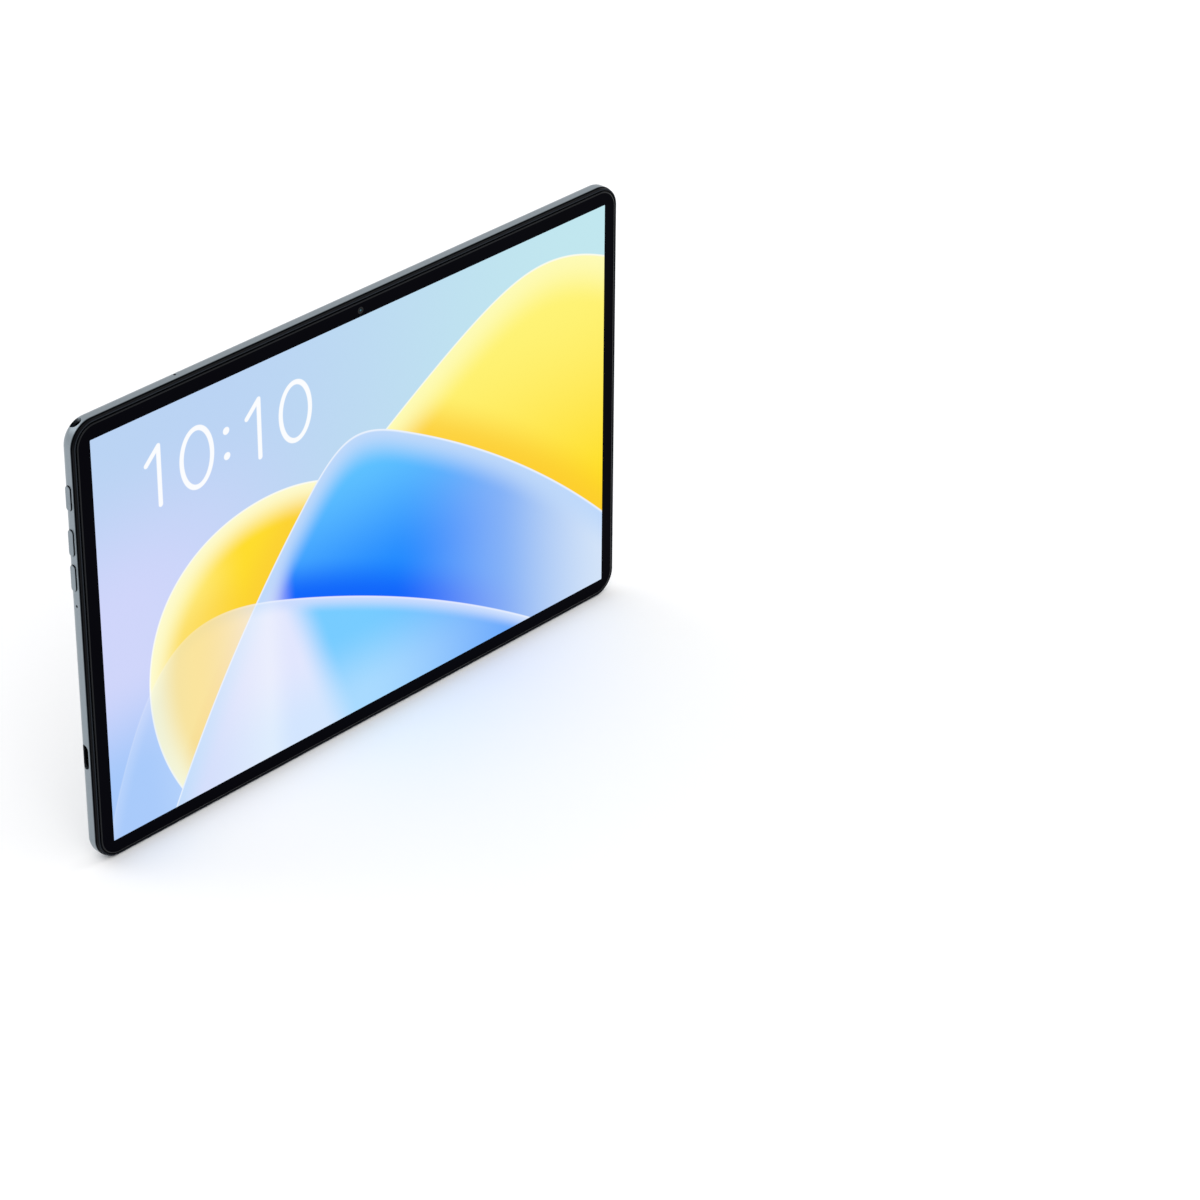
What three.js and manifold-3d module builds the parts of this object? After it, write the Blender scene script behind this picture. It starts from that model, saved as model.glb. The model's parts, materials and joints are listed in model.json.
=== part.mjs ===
// A slim tablet computer: aluminium rear cover, black mid frame, glass front and everything inside it.
//
// Millimetres, +Z up. The tablet stands upright in landscape on its long bottom edge.
//   X  along the width; the keys and the USB port are on the -X edge
//   Y  through the thickness; the display faces -Y and the cameras face +Y
//   Z  up the height, from the bottom edge
// The origin is the middle of the flat band that the tablet stands on. Every piece is laid out in a
// group whose Y is the depth behind the front of the glass, so y = 0 there is the glass face.

import * as THREE from 'three';
import { mergeVertices } from 'three/addons/utils/BufferGeometryUtils.js';
import Module from 'manifold-3d';

const wasm = await Module();
wasm.setup();

// ---------------------------------------------------------------- driving dimensions

const WIDTH = 240.2;
const HEIGHT = 159.0;
const THICKNESS = 7.5;
const CORNER_RADIUS = 8.5;

const SCREEN_WIDTH = 227.5;
const SCREEN_HEIGHT = 146.0;

// Rear cover: a flat side band, then an elliptical roll into the flat back.
const BAND_FRONT = 1.6;
const BAND_BACK = 3.8;
const ROLL_WIDTH = 5.0;
const SIDE_WALL = 1.2;
const BACK_WALL = 1.0;

// Front edge, from the outer side inwards: lip of the mid frame, black trough, edge of the glass.
const LIP_INSET = 0.3;
const LIP_WIDTH = 0.6;
const LIP_DEPTH = 0.3;
const LIP_ROUND = 0.25;
const GLASS_INSET = 1.36;
const GLASS_BEVEL = 0.17;
const WINDOW_INSET = 5.4;
const WINDOW_RADIUS = 0.8;

// Display stack, as depths behind the glass face.
const GLASS_BACK = 0.6;
const LEDGE_DEPTH = 0.72;
const RIB_BACK = 2.2;
const TOUCH_SENSOR = [0.62, 0.77];
const LCD_PANEL = [0.79, 1.59];
const LIGHT_GUIDE = [1.61, 2.01];
const BACKLIGHT_TRAY = [2.03, 2.33];
const MID_PLATE = [2.4, 2.8];

// Inside, behind the mid plate.
const BATTERY = [3.3, 6.2];
const BOARD = [4.3, 5.1];
const INNER_BACK = THICKNESS - BACK_WALL;

// Side keys on the -X edge: heights of their middles above the bottom edge, and lengths.
const KEYS = {
  power: { z: 133.5, length: 8.6 },
  volume_up: { z: 117.8, length: 9.2 },
  volume_down: { z: 105.3, length: 9.2 },
};
const KEY_DEPTH = 3.9;
const KEY_WIDTH = 2.2;
const KEY_PROUD = 0.5;
const KEY_CLEARANCE = 0.15;
const KEY_RECESS = { reach: 3, width: 3.1, length: 44, z: 119 };

// Ports and holes in the edges.
const USB = { z: 39.5, depth: 4.1, length: 8.94, height: 3.2, wall: 0.3, back: 1.2 };
const JACK = { x: -115.4, depth: 4.3, bore: 3.5, barrel: 4.1, length: 14, floor: 1, top: 154 };
const SIDE_MIC = { z: 95.3, depth: 3.4, hole: 0.9 };
const TOP_MIC = { x: -75.5, depth: 4.0, hole: 1.0 };
const SPEAKER = { x: 65.1, depth: 3.0, holes: 8, pitch: 2.33, hole: 1.4 };

// Cameras.
const FRONT_CAMERA = { x: 0, z: 154.7, barrel: 2.8, hole: 3.1, body: 5.0 };
const ISLAND = { x: -93.6, z: 138.4, width: 35.2, height: 24.8, radius: 7.0, pocket: 0.5, proud: 0.5 };
const CAMERA_AT = { x: -104.3, z: 143.5, bore: 8.0 };
const FLASH_AT = { x: -87.3, z: 143.5, bore: 4.4 };
const RING = { outer: 12.8, inner: 11.6, proud: 0.85, round: 0.15 };
const LENS_WINDOW = [THICKNESS + 0.25, THICKNESS + 0.6];

const GAP = 0.05;           // clearance between neighbours that touch in the real tablet
const FILM_GAP = 0.01;      // the same between the layers of the display
const REACH = 4;            // length of the cutter for a small hole through a wall
const FINE_ARC = 4;         // curve divisions; a quarter arc gets twice as many flats
const PLAIN_ARC = 1;        // for small and inner pieces
const ROLL_STEPS = 4;
const ROUND_SIDES = 24;     // of a window, ring or bore
const SMALL_SIDES = 10;     // of a screw, boss or small hole

const GLASS_Y = -(BAND_FRONT + BAND_BACK) / 2;
const MIDDLE_Z = HEIGHT / 2;
const LEFT_X = -WIDTH / 2;
const USB_BACK = LEFT_X + 8.2;

// ---------------------------------------------------------------- outlines

/** Rectangle with round corners, centred on (x, y). */
function roundedRect(width, height, radius, x = 0, y = 0) {
  const right = x + width / 2;
  const left = x - width / 2;
  const top = y + height / 2;
  const bottom = y - height / 2;
  const shape = new THREE.Shape();
  shape.moveTo(left + radius, bottom);
  shape.lineTo(right - radius, bottom);
  shape.absarc(right - radius, bottom + radius, radius, -Math.PI / 2, 0);
  shape.lineTo(right, top - radius);
  shape.absarc(right - radius, top - radius, radius, 0, Math.PI / 2);
  shape.lineTo(left + radius, top);
  shape.absarc(left + radius, top - radius, radius, Math.PI / 2, Math.PI);
  shape.lineTo(left, bottom + radius);
  shape.absarc(left + radius, bottom + radius, radius, Math.PI, 1.5 * Math.PI);
  return shape;
}

/** The tablet's own outline in plan, moved inwards; its corners follow unless a radius is given. */
function bodyOutline(inset, radius = CORNER_RADIUS - inset) {
  return roundedRect(WIDTH - 2 * inset, HEIGHT - 2 * inset, radius, 0, MIDDLE_Z);
}

/** The tablet's outline with a hole in it: a band that follows the edge. */
function bodyRing(outerInset, innerInset, innerRadius) {
  const ring = bodyOutline(outerInset);
  ring.holes.push(bodyOutline(innerInset, innerRadius));
  return ring;
}

/** Straight-sided outline through the given corners. */
function polygon(corners) {
  return new THREE.Shape(corners.map(([x, y]) => new THREE.Vector2(x, y)));
}

/** Slot shape with half-round ends, lying along its own X. */
function pill(length, width) {
  const radius = width / 2;
  const straight = length / 2 - radius;
  const shape = new THREE.Shape();
  shape.moveTo(-straight, -radius);
  shape.lineTo(straight, -radius);
  shape.absarc(straight, 0, radius, -Math.PI / 2, Math.PI / 2);
  shape.lineTo(-straight, radius);
  shape.absarc(-straight, 0, radius, Math.PI / 2, 1.5 * Math.PI);
  return shape;
}

// ---------------------------------------------------------------- solids

const FINE = { arc: FINE_ARC };

/** Extrusion of an outline along +Z from 0, with optional bevels inside its size. */
function extrude(outline, length, { bevel = 0, arc = PLAIN_ARC } = {}) {
  return new THREE.ExtrudeGeometry(outline, {
    depth: length - 2 * bevel,
    curveSegments: arc,
    bevelEnabled: bevel > 0,
    bevelThickness: bevel,
    bevelSize: bevel,
    bevelOffset: -bevel,
    bevelSegments: 2,
  }).translate(0, 0, bevel);
}

/** Plate parallel to the glass between two depths; its outline is drawn in (x, z). */
function plate(outline, [from, to], options) {
  return extrude(outline, to - from, options).rotateX(Math.PI / 2).translate(0, to, 0);
}

/** Box from its sizes along x, depth and z, with its middle at the given place. */
function box(size, at = [0, 0, 0]) {
  return new THREE.BoxGeometry(...size).translate(...at);
}

/** Cylinder along an axis, centred on the origin. */
function cylinder(diameter, length, axis, sides = ROUND_SIDES) {
  const geometry = new THREE.CylinderGeometry(diameter / 2, diameter / 2, length, sides);
  if (axis === 'x') geometry.rotateZ(Math.PI / 2);
  if (axis === 'z') geometry.rotateX(Math.PI / 2);
  return geometry;
}

/** Cylinder through the thickness between two depths. */
function pin(diameter, [from, to], x, z, sides = ROUND_SIDES) {
  return cylinder(diameter, to - from, 'y', sides).translate(x, (from + to) / 2, z);
}

/** Slot-shaped bar along X, long side up, from one x to another. */
function slotAlongX(length, width, fromX, toX, depth, z, bevel = 0) {
  return extrude(pill(length, width), toX - fromX, { bevel, arc: 2 }).rotateY(Math.PI / 2)
    .translate(fromX, depth, z);
}

/** Closed solid from a geometry, for cutting and joining; a solid is passed on as it is. */
function solid(geometry) {
  if (geometry instanceof wasm.Manifold) return geometry;
  const bare = new THREE.BufferGeometry();
  bare.setAttribute('position', geometry.getAttribute('position'));
  bare.setIndex(geometry.index);
  const merged = mergeVertices(bare, 1e-4);
  return new wasm.Manifold(new wasm.Mesh({
    numProp: 3,
    vertProperties: new Float32Array(merged.getAttribute('position').array),
    triVerts: new Uint32Array(merged.index.array),
  }));
}

/** Geometry from a solid; a geometry is passed on as it is. */
function geometryOf(body) {
  if (body instanceof THREE.BufferGeometry) return body;
  const mesh = body.getMesh();
  const geometry = new THREE.BufferGeometry();
  geometry.setAttribute('position', new THREE.BufferAttribute(mesh.vertProperties, 3));
  geometry.setIndex(new THREE.BufferAttribute(mesh.triVerts, 1));
  geometry.computeVertexNormals();
  return geometry;
}

function cut(geometry, ...tools) {
  return tools.reduce((body, tool) => body.subtract(solid(tool)), solid(geometry));
}

function join(...pieces) {
  return pieces.map(solid).reduce((body, piece) => body.add(piece));
}

// ---------------------------------------------------------------- materials

const finish = (color, roughness, metalness = 0) => () =>
  new THREE.MeshStandardMaterial({ color, roughness, metalness });

const anodised = finish(0x7c8a8e, 0.38, 0.85);
const keyMetal = finish(0x6f7e83, 0.35, 0.85);
const blackPlastic = finish(0x0c0e11, 0.45);
const frontGlass = finish(0x06080a, 0.05);
const islandGloss = finish(0x08090b, 0.12);
const lensGlass = finish(0x141a2c, 0.04);
const polishedRing = finish(0xc6cace, 0.2, 0.95);
const warmDiffuser = finish(0xf1e4c8, 0.4);
const filmGrey = finish(0x3c444c, 0.3);
const clearPlate = finish(0xe6ecef, 0.2);
const steel = finish(0xa9adb0, 0.35, 0.9);
const plateAlloy = finish(0x9aa0a4, 0.5, 0.8);
const pouchFoil = finish(0x2b2d30, 0.4, 0.3);
const boardGreen = finish(0x1d5a44, 0.5);
const chipBlack = finish(0x17191b, 0.5);
const flexOrange = finish(0xa86a2a, 0.5);
const meshBlack = finish(0x1a1c1e, 0.7);
const contactBlack = finish(0x101214, 0.5);
const adhesiveBlack = finish(0x1e1e20, 0.8);

// ---------------------------------------------------------------- scene graph

const tablet = new THREE.Group();
const layout = new THREE.Group();
layout.position.y = GLASS_Y;
tablet.add(layout);

/** A named group of pieces inside the tablet. */
function section() {
  const group = new THREE.Group();
  layout.add(group);
  return group;
}

function addPiece(group, name, shape, material, at = [0, 0, 0]) {
  const mesh = new THREE.Mesh(geometryOf(shape), material());
  mesh.name = name;
  mesh.position.set(...at);
  group.add(mesh);
}

// ---------------------------------------------------------------- screws and where they go

const SCREW = {
  head: 2.6, headHeight: 0.6, rim: 0.35, shank: 1.0, length: 1.9, tip: 0.3,
  slot: 0.35, slotLength: 1.5, slotDepth: 0.35, hole: 1.6, bore: 1.2, boss: 3.8,
};
const BOARD_SCREWS = [[-112, 25], [-76, 25], [-76, 82], [-112, 86], [-76, 146], [-112, 131]];
const SPEAKER_EAR = 21.5;
const SPEAKER_Z = 11;
const SPEAKER_SCREWS = [-SPEAKER.x - SPEAKER_EAR, -SPEAKER.x + SPEAKER_EAR,
  SPEAKER.x - SPEAKER_EAR, SPEAKER.x + SPEAKER_EAR].map((x) => [x, SPEAKER_Z]);
const EAR = [4.2, 5.1];

/** Threaded boss standing on the inside of the back, rooted in the wall. */
function boss([x, z], front) {
  return pin(SCREW.boss, [front, INNER_BACK + BACK_WALL / 3], x, z, SMALL_SIDES);
}

function bossBore([x, z]) {
  return pin(SCREW.bore, [BOARD[0], INNER_BACK], x, z, SMALL_SIDES);
}

/** Pan-head screw with a cross slot, its head's underside at y = 0 and its shank towards the back. */
function screwGeometry() {
  const { headHeight, length, tip } = SCREW;
  const head = SCREW.head / 2;
  const shank = SCREW.shank / 2;
  const profile = [[0, -headHeight], [head * 0.8, -headHeight], [head, -SCREW.rim],
    [head, 0], [shank, 0], [shank, length - tip], [0, length]];
  const turned = new THREE.LatheGeometry(profile.map(([r, y]) => new THREE.Vector2(r, y)), SMALL_SIDES);
  const slotMiddle = [0, -headHeight, 0];
  const across = box([SCREW.slotLength, SCREW.slotDepth, SCREW.slot], slotMiddle);
  const upright = box([SCREW.slot, SCREW.slotDepth, SCREW.slotLength], slotMiddle);
  return cut(turned, across, upright);
}

// ---------------------------------------------------------------- enclosure

/** Slab behind a front depth whose rear edge rolls in over a quarter ellipse. */
function rolledSlab(inset, front, back) {
  const spare = 1;
  const roll = back - BAND_BACK;
  const width = ROLL_WIDTH - inset;
  const blank = new THREE.ExtrudeGeometry(bodyOutline(inset), {
    depth: BAND_BACK - front + spare,
    curveSegments: FINE_ARC,
    bevelThickness: roll,
    bevelSize: width,
    bevelOffset: -width,
    bevelSegments: ROLL_STEPS,
  }).rotateX(Math.PI / 2).translate(0, BAND_BACK, 0);
  const excess = 2 * THICKNESS;
  return cut(blank, box([WIDTH + 2, excess, HEIGHT + 2], [0, front - excess / 2, MIDDLE_Z]));
}

function speakerHoles(side) {
  return Array.from({ length: SPEAKER.holes }, (_, index) => {
    const x = side * SPEAKER.x + (index - (SPEAKER.holes - 1) / 2) * SPEAKER.pitch;
    return cylinder(SPEAKER.hole, REACH, 'z', SMALL_SIDES).translate(x, SPEAKER.depth, 0);
  });
}

function keySlots() {
  return Object.values(KEYS).map(({ z, length }) =>
    slotAlongX(length + 2 * KEY_CLEARANCE, KEY_WIDTH + 2 * KEY_CLEARANCE,
      LEFT_X - 1, LEFT_X + KEY_RECESS.reach, KEY_DEPTH, z));
}

function buildRearCover() {
  const shell = cut(rolledSlab(0, BAND_FRONT, THICKNESS), rolledSlab(SIDE_WALL, 0, INNER_BACK));
  const bosses = [
    ...BOARD_SCREWS.map((at) => boss(at, BOARD[1] + GAP)),
    ...SPEAKER_SCREWS.map((at) => boss(at, EAR[1] + GAP)),
  ];
  const fit = 2 * GAP;
  const islandPocket = plate(
    roundedRect(ISLAND.width + fit, ISLAND.height + fit, ISLAND.radius + GAP, ISLAND.x, ISLAND.z),
    [THICKNESS - ISLAND.pocket, THICKNESS + 1], FINE);
  const keyRecess = box([KEY_RECESS.reach, KEY_RECESS.width, KEY_RECESS.length],
    [LEFT_X + SIDE_WALL + KEY_RECESS.reach / 2, KEY_DEPTH, KEY_RECESS.z]);
  const jackRecess = cylinder(JACK.barrel + 2 * fit, JACK.length, 'z')
    .translate(JACK.x, JACK.depth, JACK.top + fit - JACK.length / 2);
  const jackMouth = cylinder(JACK.bore + fit, 2 * REACH, 'z').translate(JACK.x, JACK.depth, JACK.top + REACH);
  return cut(
    join(shell, ...bosses),
    ...[...BOARD_SCREWS, ...SPEAKER_SCREWS].map(bossBore),
    islandPocket,
    ...[CAMERA_AT, FLASH_AT].map(({ x, z, bore }) => pin(bore, [BOARD[1], THICKNESS], x, z)),
    keyRecess,
    ...keySlots(),
    slotAlongX(USB.length + fit, USB.height + fit, LEFT_X - 1, USB_BACK, USB.depth, USB.z),
    jackMouth,
    jackRecess,
    cylinder(SIDE_MIC.hole, REACH, 'x', SMALL_SIDES).translate(LEFT_X, SIDE_MIC.depth, SIDE_MIC.z),
    cylinder(TOP_MIC.hole, REACH, 'z', SMALL_SIDES).translate(TOP_MIC.x, TOP_MIC.depth, HEIGHT),
    ...speakerHoles(-1),
    ...speakerHoles(1),
  );
}

/** Black plastic frame: a rounded outer lip, a ledge that carries the glass, a rib inside the cover. */
function buildMidFrame() {
  const sunk = 0.3;
  const lip = plate(bodyRing(LIP_INSET, LIP_INSET + LIP_WIDTH), [LIP_DEPTH, BAND_FRONT + sunk],
    { bevel: LIP_ROUND, arc: FINE_ARC });
  const ledge = plate(bodyRing(LIP_INSET + LIP_WIDTH / 2, WINDOW_INSET, WINDOW_RADIUS),
    [LEDGE_DEPTH, BAND_FRONT - GAP], FINE);
  const rib = plate(bodyRing(SIDE_WALL + 2 * GAP, WINDOW_INSET, WINDOW_RADIUS),
    [BAND_FRONT - sunk, RIB_BACK], FINE);
  const behindLip = plate(bodyRing(-1, SIDE_WALL + 2 * GAP), [BAND_FRONT - GAP, RIB_BACK], FINE);
  const cameraHole = pin(FRONT_CAMERA.hole, [0, REACH], FRONT_CAMERA.x, FRONT_CAMERA.z);
  return cut(join(cut(join(lip, ledge), behindLip), rib), cameraHole);
}

const enclosure = section();
addPiece(enclosure, 'rear_cover', buildRearCover(), anodised);
addPiece(enclosure, 'mid_frame', buildMidFrame(), blackPlastic);

// ---------------------------------------------------------------- display

const MODULE_MARGIN = 0.6;
const GUIDE_MARGIN = 0.3;
const TRAY = { lip: 0.3, floor: 0.2, wall: 0.25 };
const PLATE = { left: -109, right: 112, bottom: 7, top: 150, radius: 3 };
const ADHESIVE = { outer: 1.7, inner: 2.6 };

/** Layer of the display module, a little larger than the lit area. */
function screenLayer(margin, depths) {
  return plate(roundedRect(SCREEN_WIDTH + 2 * margin, SCREEN_HEIGHT + 2 * margin, 0.5, 0, MIDDLE_Z), depths);
}

/** Folded steel tray open towards the display. */
function buildBacklightTray() {
  const [front, back] = BACKLIGHT_TRAY;
  const tray = screenLayer(MODULE_MARGIN, [front - TRAY.lip, back]);
  return cut(tray, screenLayer(MODULE_MARGIN - TRAY.wall, [0, back - TRAY.floor]));
}

/** Stiffening sheet behind the display, with a window for the board's connectors and one for the aerial. */
function buildMidPlate() {
  const { left, right, bottom, top, radius } = PLATE;
  const sheet = plate(
    roundedRect(right - left, top - bottom, radius, (left + right) / 2, (bottom + top) / 2), MID_PLATE);
  const connectorWindow = plate(roundedRect(30, 20, radius, -88, 28), [0, REACH]);
  const aerialWindow = plate(roundedRect(16, 30, radius, 90, 120), [0, REACH]);
  return cut(sheet, connectorWindow, aerialWindow);
}

/** Flat cable: a thin strip that steps back from the display to the main board. */
function buildDisplayFlex() {
  const thick = 0.14;
  const front = BACKLIGHT_TRAY[1] + GAP / 2;
  const back = BOARD[0] - GAP - thick;
  const strip = polygon([
    [-113.6, front], [-110.4, front], [-109.6, front + 0.7], [-109.6, back - 0.5], [-109.1, back],
    [-100, back], [-100, back + thick], [-109.2, back + thick], [-109.6 - thick, back - 0.4],
    [-109.6 - thick, front + 0.74], [-110.5, front + thick], [-113.6, front + thick],
  ]);
  return extrude(strip, 22).translate(0, 0, 60);
}

const display = section();
addPiece(display, 'cover_glass', plate(bodyOutline(GLASS_INSET), [0, GLASS_BACK],
  { bevel: GLASS_BEVEL, arc: FINE_ARC }), frontGlass);
addPiece(display, 'display_adhesive', plate(bodyRing(ADHESIVE.outer, ADHESIVE.inner),
  [GLASS_BACK + FILM_GAP, LEDGE_DEPTH - FILM_GAP], FINE), adhesiveBlack);
addPiece(display, 'touch_sensor', screenLayer(MODULE_MARGIN, TOUCH_SENSOR), filmGrey);
addPiece(display, 'lcd_panel', screenLayer(MODULE_MARGIN, LCD_PANEL), filmGrey);
addPiece(display, 'light_guide', screenLayer(GUIDE_MARGIN, LIGHT_GUIDE), clearPlate);
addPiece(display, 'backlight_tray', buildBacklightTray(), steel);
addPiece(display, 'mid_plate', buildMidPlate(), plateAlloy);
addPiece(display, 'display_flex', buildDisplayFlex(), flexOrange);

// ---------------------------------------------------------------- battery

const CELL = { width: 84, height: 108, z: 79, x: [-24, 64] };

/** Pouch cell with soft edges. */
function buildCell() {
  return plate(roundedRect(CELL.width, CELL.height, 3), BATTERY, { bevel: 0.7, arc: PLAIN_ARC });
}

const battery = section();
addPiece(battery, 'battery_cell_1', buildCell(), pouchFoil, [CELL.x[0], 0, CELL.z]);
addPiece(battery, 'battery_cell_2', buildCell(), pouchFoil, [CELL.x[1], 0, CELL.z]);
addPiece(battery, 'battery_board', box([120, 0.9, 5], [20, 4.8, 137.4]), boardGreen);
addPiece(battery, 'battery_flex', box([40, 0.15, 8], [-56, BOARD[0] - 0.1, 137.4]), flexOrange);

// ---------------------------------------------------------------- main board

function buildMainBoard() {
  const outline = polygon([[-116.5, 20], [-72, 20], [-72, 150], [-97, 150], [-97, 137], [-116.5, 137]]);
  const notchWidth = 10;
  const usbNotch = box([notchWidth, USB.height, USB.length + 12 * GAP],
    [USB_BACK + 2 * GAP - notchWidth / 2, BOARD[0], USB.z]);
  const holes = BOARD_SCREWS.map(([x, z]) => pin(SCREW.hole, [3, 6], x, z, SMALL_SIDES));
  return cut(plate(outline, BOARD), usbNotch, ...holes);
}

/** Pressed steel lid, open towards the board it covers. */
function buildShieldCan(width, height) {
  const from = BOARD[1] + GAP;
  const tall = 1.2;
  const sheet = 0.2;
  const lid = plate(roundedRect(width, height, 1), [from, from + tall]);
  const inside = roundedRect(width - 2 * sheet, height - 2 * sheet, 1 - sheet);
  return cut(lid, plate(inside, [from - 1, from + tall - sheet]));
}

const CANS = { processor: { at: [-95, 70], size: [30, 26] }, radio: { at: [-95, 110], size: [26, 20] } };

const electronics = section();
addPiece(electronics, 'main_board', buildMainBoard(), boardGreen);
addPiece(electronics, 'shield_can_processor', buildShieldCan(...CANS.processor.size), steel,
  [CANS.processor.at[0], 0, CANS.processor.at[1]]);
addPiece(electronics, 'shield_can_radio', buildShieldCan(...CANS.radio.size), steel,
  [CANS.radio.at[0], 0, CANS.radio.at[1]]);

/** Flat chip on the back of the board. */
function addChip(name, width, height, x, z) {
  const from = BOARD[1] + GAP / 2;
  const body = plate(roundedRect(width, height, 0.3), [from, from + 0.75]);
  addPiece(electronics, name, body, chipBlack, [x, 0, z]);
}
addChip('processor', 12, 12, -100, 70);
addChip('memory_chip', 9, 11, -86, 70);
addChip('power_chip', 7, 7, -95, 47);
addChip('radio_chip', 8, 8, -95, 110);

// ---------------------------------------------------------------- ports

function buildUsbShell() {
  const from = LEFT_X + 0.9;
  const { length, height, wall, back, depth, z } = USB;
  const body = slotAlongX(length, height, from, USB_BACK, depth, z);
  const throat = slotAlongX(length - 2 * wall, height - 2 * wall, from - 1, USB_BACK - back, depth, z);
  return cut(body, throat);
}

function buildUsbTongue() {
  const [from, to] = [LEFT_X + 1.6, USB_BACK - USB.back - GAP];
  return box([to - from, 0.7, 6.7], [(from + to) / 2, USB.depth, USB.z]);
}

/** Blind socket for a 3.5 mm plug, with the contact housing on its inner side. */
function buildHeadphoneJack() {
  const { x, depth, bore, barrel, length, floor, top } = JACK;
  const middle = top - length / 2;
  const tube = cylinder(barrel, length, 'z').translate(x, depth, middle);
  const housing = box([3.2, 1.2, length - 2], [x + 1.6, depth + 1.2, middle - 1]);
  return cut(join(tube, housing), cylinder(bore, length, 'z').translate(x, depth, middle + floor));
}

const ports = section();
addPiece(ports, 'usb_port_shell', buildUsbShell(), steel);
addPiece(ports, 'usb_port_tongue', buildUsbTongue(), contactBlack);
addPiece(ports, 'headphone_jack', buildHeadphoneJack(), contactBlack);

// ---------------------------------------------------------------- sound

/** Sealed loudspeaker box with a screw ear at each end. */
function buildSpeaker() {
  const chamber = plate(roundedRect(37, 14, 2), [3.0, 6.2]);
  const ears = plate(roundedRect(47, 5, 2), EAR);
  const holes = [-SPEAKER_EAR, SPEAKER_EAR].map((x) => pin(SCREW.hole, [3, 6], x, 0, SMALL_SIDES));
  return cut(join(chamber, ears), ...holes);
}

const sound = section();
for (const [name, side] of [['left', -1], ['right', 1]]) {
  addPiece(sound, `speaker_${name}`, buildSpeaker(), contactBlack, [side * SPEAKER.x, 0, SPEAKER_Z]);
  addPiece(sound, `speaker_mesh_${name}`, box([19, 2.0, 0.3]), meshBlack,
    [side * SPEAKER.x, SPEAKER.depth + 0.3, SIDE_WALL + 0.6]);
}
addPiece(sound, 'microphone_top', box([3.6, 1.1, 2.6]), contactBlack, [TOP_MIC.x, TOP_MIC.depth, HEIGHT - 3]);
addPiece(sound, 'microphone_side', box([1.0, 1.6, 3.2]), contactBlack,
  [LEFT_X + SIDE_WALL + 0.8, SIDE_MIC.depth, SIDE_MIC.z]);

// ---------------------------------------------------------------- side keys

const FLANGE = { from: LEFT_X + 1.35, to: LEFT_X + 1.85, extra: 2.4 };
const NUB = { to: LEFT_X + 2.15, diameter: 1.6 };
const SWITCH = { from: LEFT_X + 2.5, to: LEFT_X + 3.05, diameter: 2.2 };
const KEY_BEVEL = 0.35;
const KEY_STRIP = { length: 38, z: 119.5, film: 0.15, sheet: 0.3 };

/** Key cap with a retaining flange and a nub that reaches for its switch, centred on y = 0 and z = 0. */
function buildKey(length) {
  const face = LEFT_X - KEY_PROUD;
  const cap = slotAlongX(length, KEY_WIDTH, face, FLANGE.to + KEY_BEVEL, 0, 0, KEY_BEVEL);
  const flange = slotAlongX(length + FLANGE.extra, KEY_WIDTH, FLANGE.from, FLANGE.to, 0, 0);
  const behind = box([2, 2 * KEY_WIDTH, length + 4], [FLANGE.to + 1, 0, 0]);
  const nub = cylinder(NUB.diameter, NUB.to - FLANGE.from, 'x', SMALL_SIDES)
    .translate((NUB.to + FLANGE.from) / 2, 0, 0);
  return join(cut(join(cap, flange), behind), nub);
}

const keys = section();
keys.position.y = KEY_DEPTH;
for (const [name, { z, length }] of Object.entries(KEYS)) {
  addPiece(keys, `${name}_button`, buildKey(length), keyMetal, [0, 0, z]);
  const dome = cylinder(SWITCH.diameter, SWITCH.to - SWITCH.from, 'x', SMALL_SIDES);
  addPiece(keys, `${name}_switch`, dome, steel, [(SWITCH.from + SWITCH.to) / 2, 0, z]);
}
const stripFront = SWITCH.to + GAP;
const sheetFront = stripFront + KEY_STRIP.film + GAP;
addPiece(keys, 'key_flex', box([KEY_STRIP.film, 2.4, KEY_STRIP.length],
  [stripFront + KEY_STRIP.film / 2, 0, KEY_STRIP.z]), flexOrange);
addPiece(keys, 'key_bracket', box([KEY_STRIP.sheet, 2.2, KEY_STRIP.length + 2],
  [sheetFront + KEY_STRIP.sheet / 2, -0.15, KEY_STRIP.z]), steel);

// ---------------------------------------------------------------- cameras

function buildFrontCamera() {
  const { x, z, barrel, body } = FRONT_CAMERA;
  const housing = plate(roundedRect(body, body, 0.4, x, z), [2.9, 5.0]);
  return join(housing, pin(barrel, [GLASS_BACK + GAP, 3.1], x, z));
}

function buildRearCamera() {
  const { x, z } = CAMERA_AT;
  const housing = plate(roundedRect(8.6, 8.6, 0.8, x, z), [3.2, 6.4]);
  const barrel = pin(7.0, [6.2, 7.7], x, z);
  const recess = pin(4.6, [7.4, 8], x, z);
  return cut(join(housing, barrel), recess);
}

const ISLAND_FACE = THICKNESS + ISLAND.proud;

/** Gloss plate round the two lens rings. */
function buildIsland() {
  const outline = roundedRect(ISLAND.width, ISLAND.height, ISLAND.radius, ISLAND.x, ISLAND.z);
  const bores = [CAMERA_AT, FLASH_AT].map(({ x, z }) =>
    pin(RING.outer + 2 * GAP, [BOARD[1], 2 * THICKNESS], x, z));
  const slab = plate(outline, [THICKNESS - ISLAND.pocket + GAP, ISLAND_FACE], { bevel: 0.2, arc: FINE_ARC });
  return cut(slab, ...bores);
}

/** Turned trim ring with a rounded outer edge. */
function buildRing() {
  const outer = RING.outer / 2;
  const inner = RING.inner / 2;
  const back = THICKNESS + RING.proud;
  const front = THICKNESS - ISLAND.pocket + GAP;
  const { round } = RING;
  const profile = [[inner, front], [outer, front], [outer, back - round], [outer - round, back],
    [inner + round, back], [inner, back - round], [inner, front]];
  return new THREE.LatheGeometry(profile.map(([r, y]) => new THREE.Vector2(r, y)), ROUND_SIDES);
}

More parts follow.
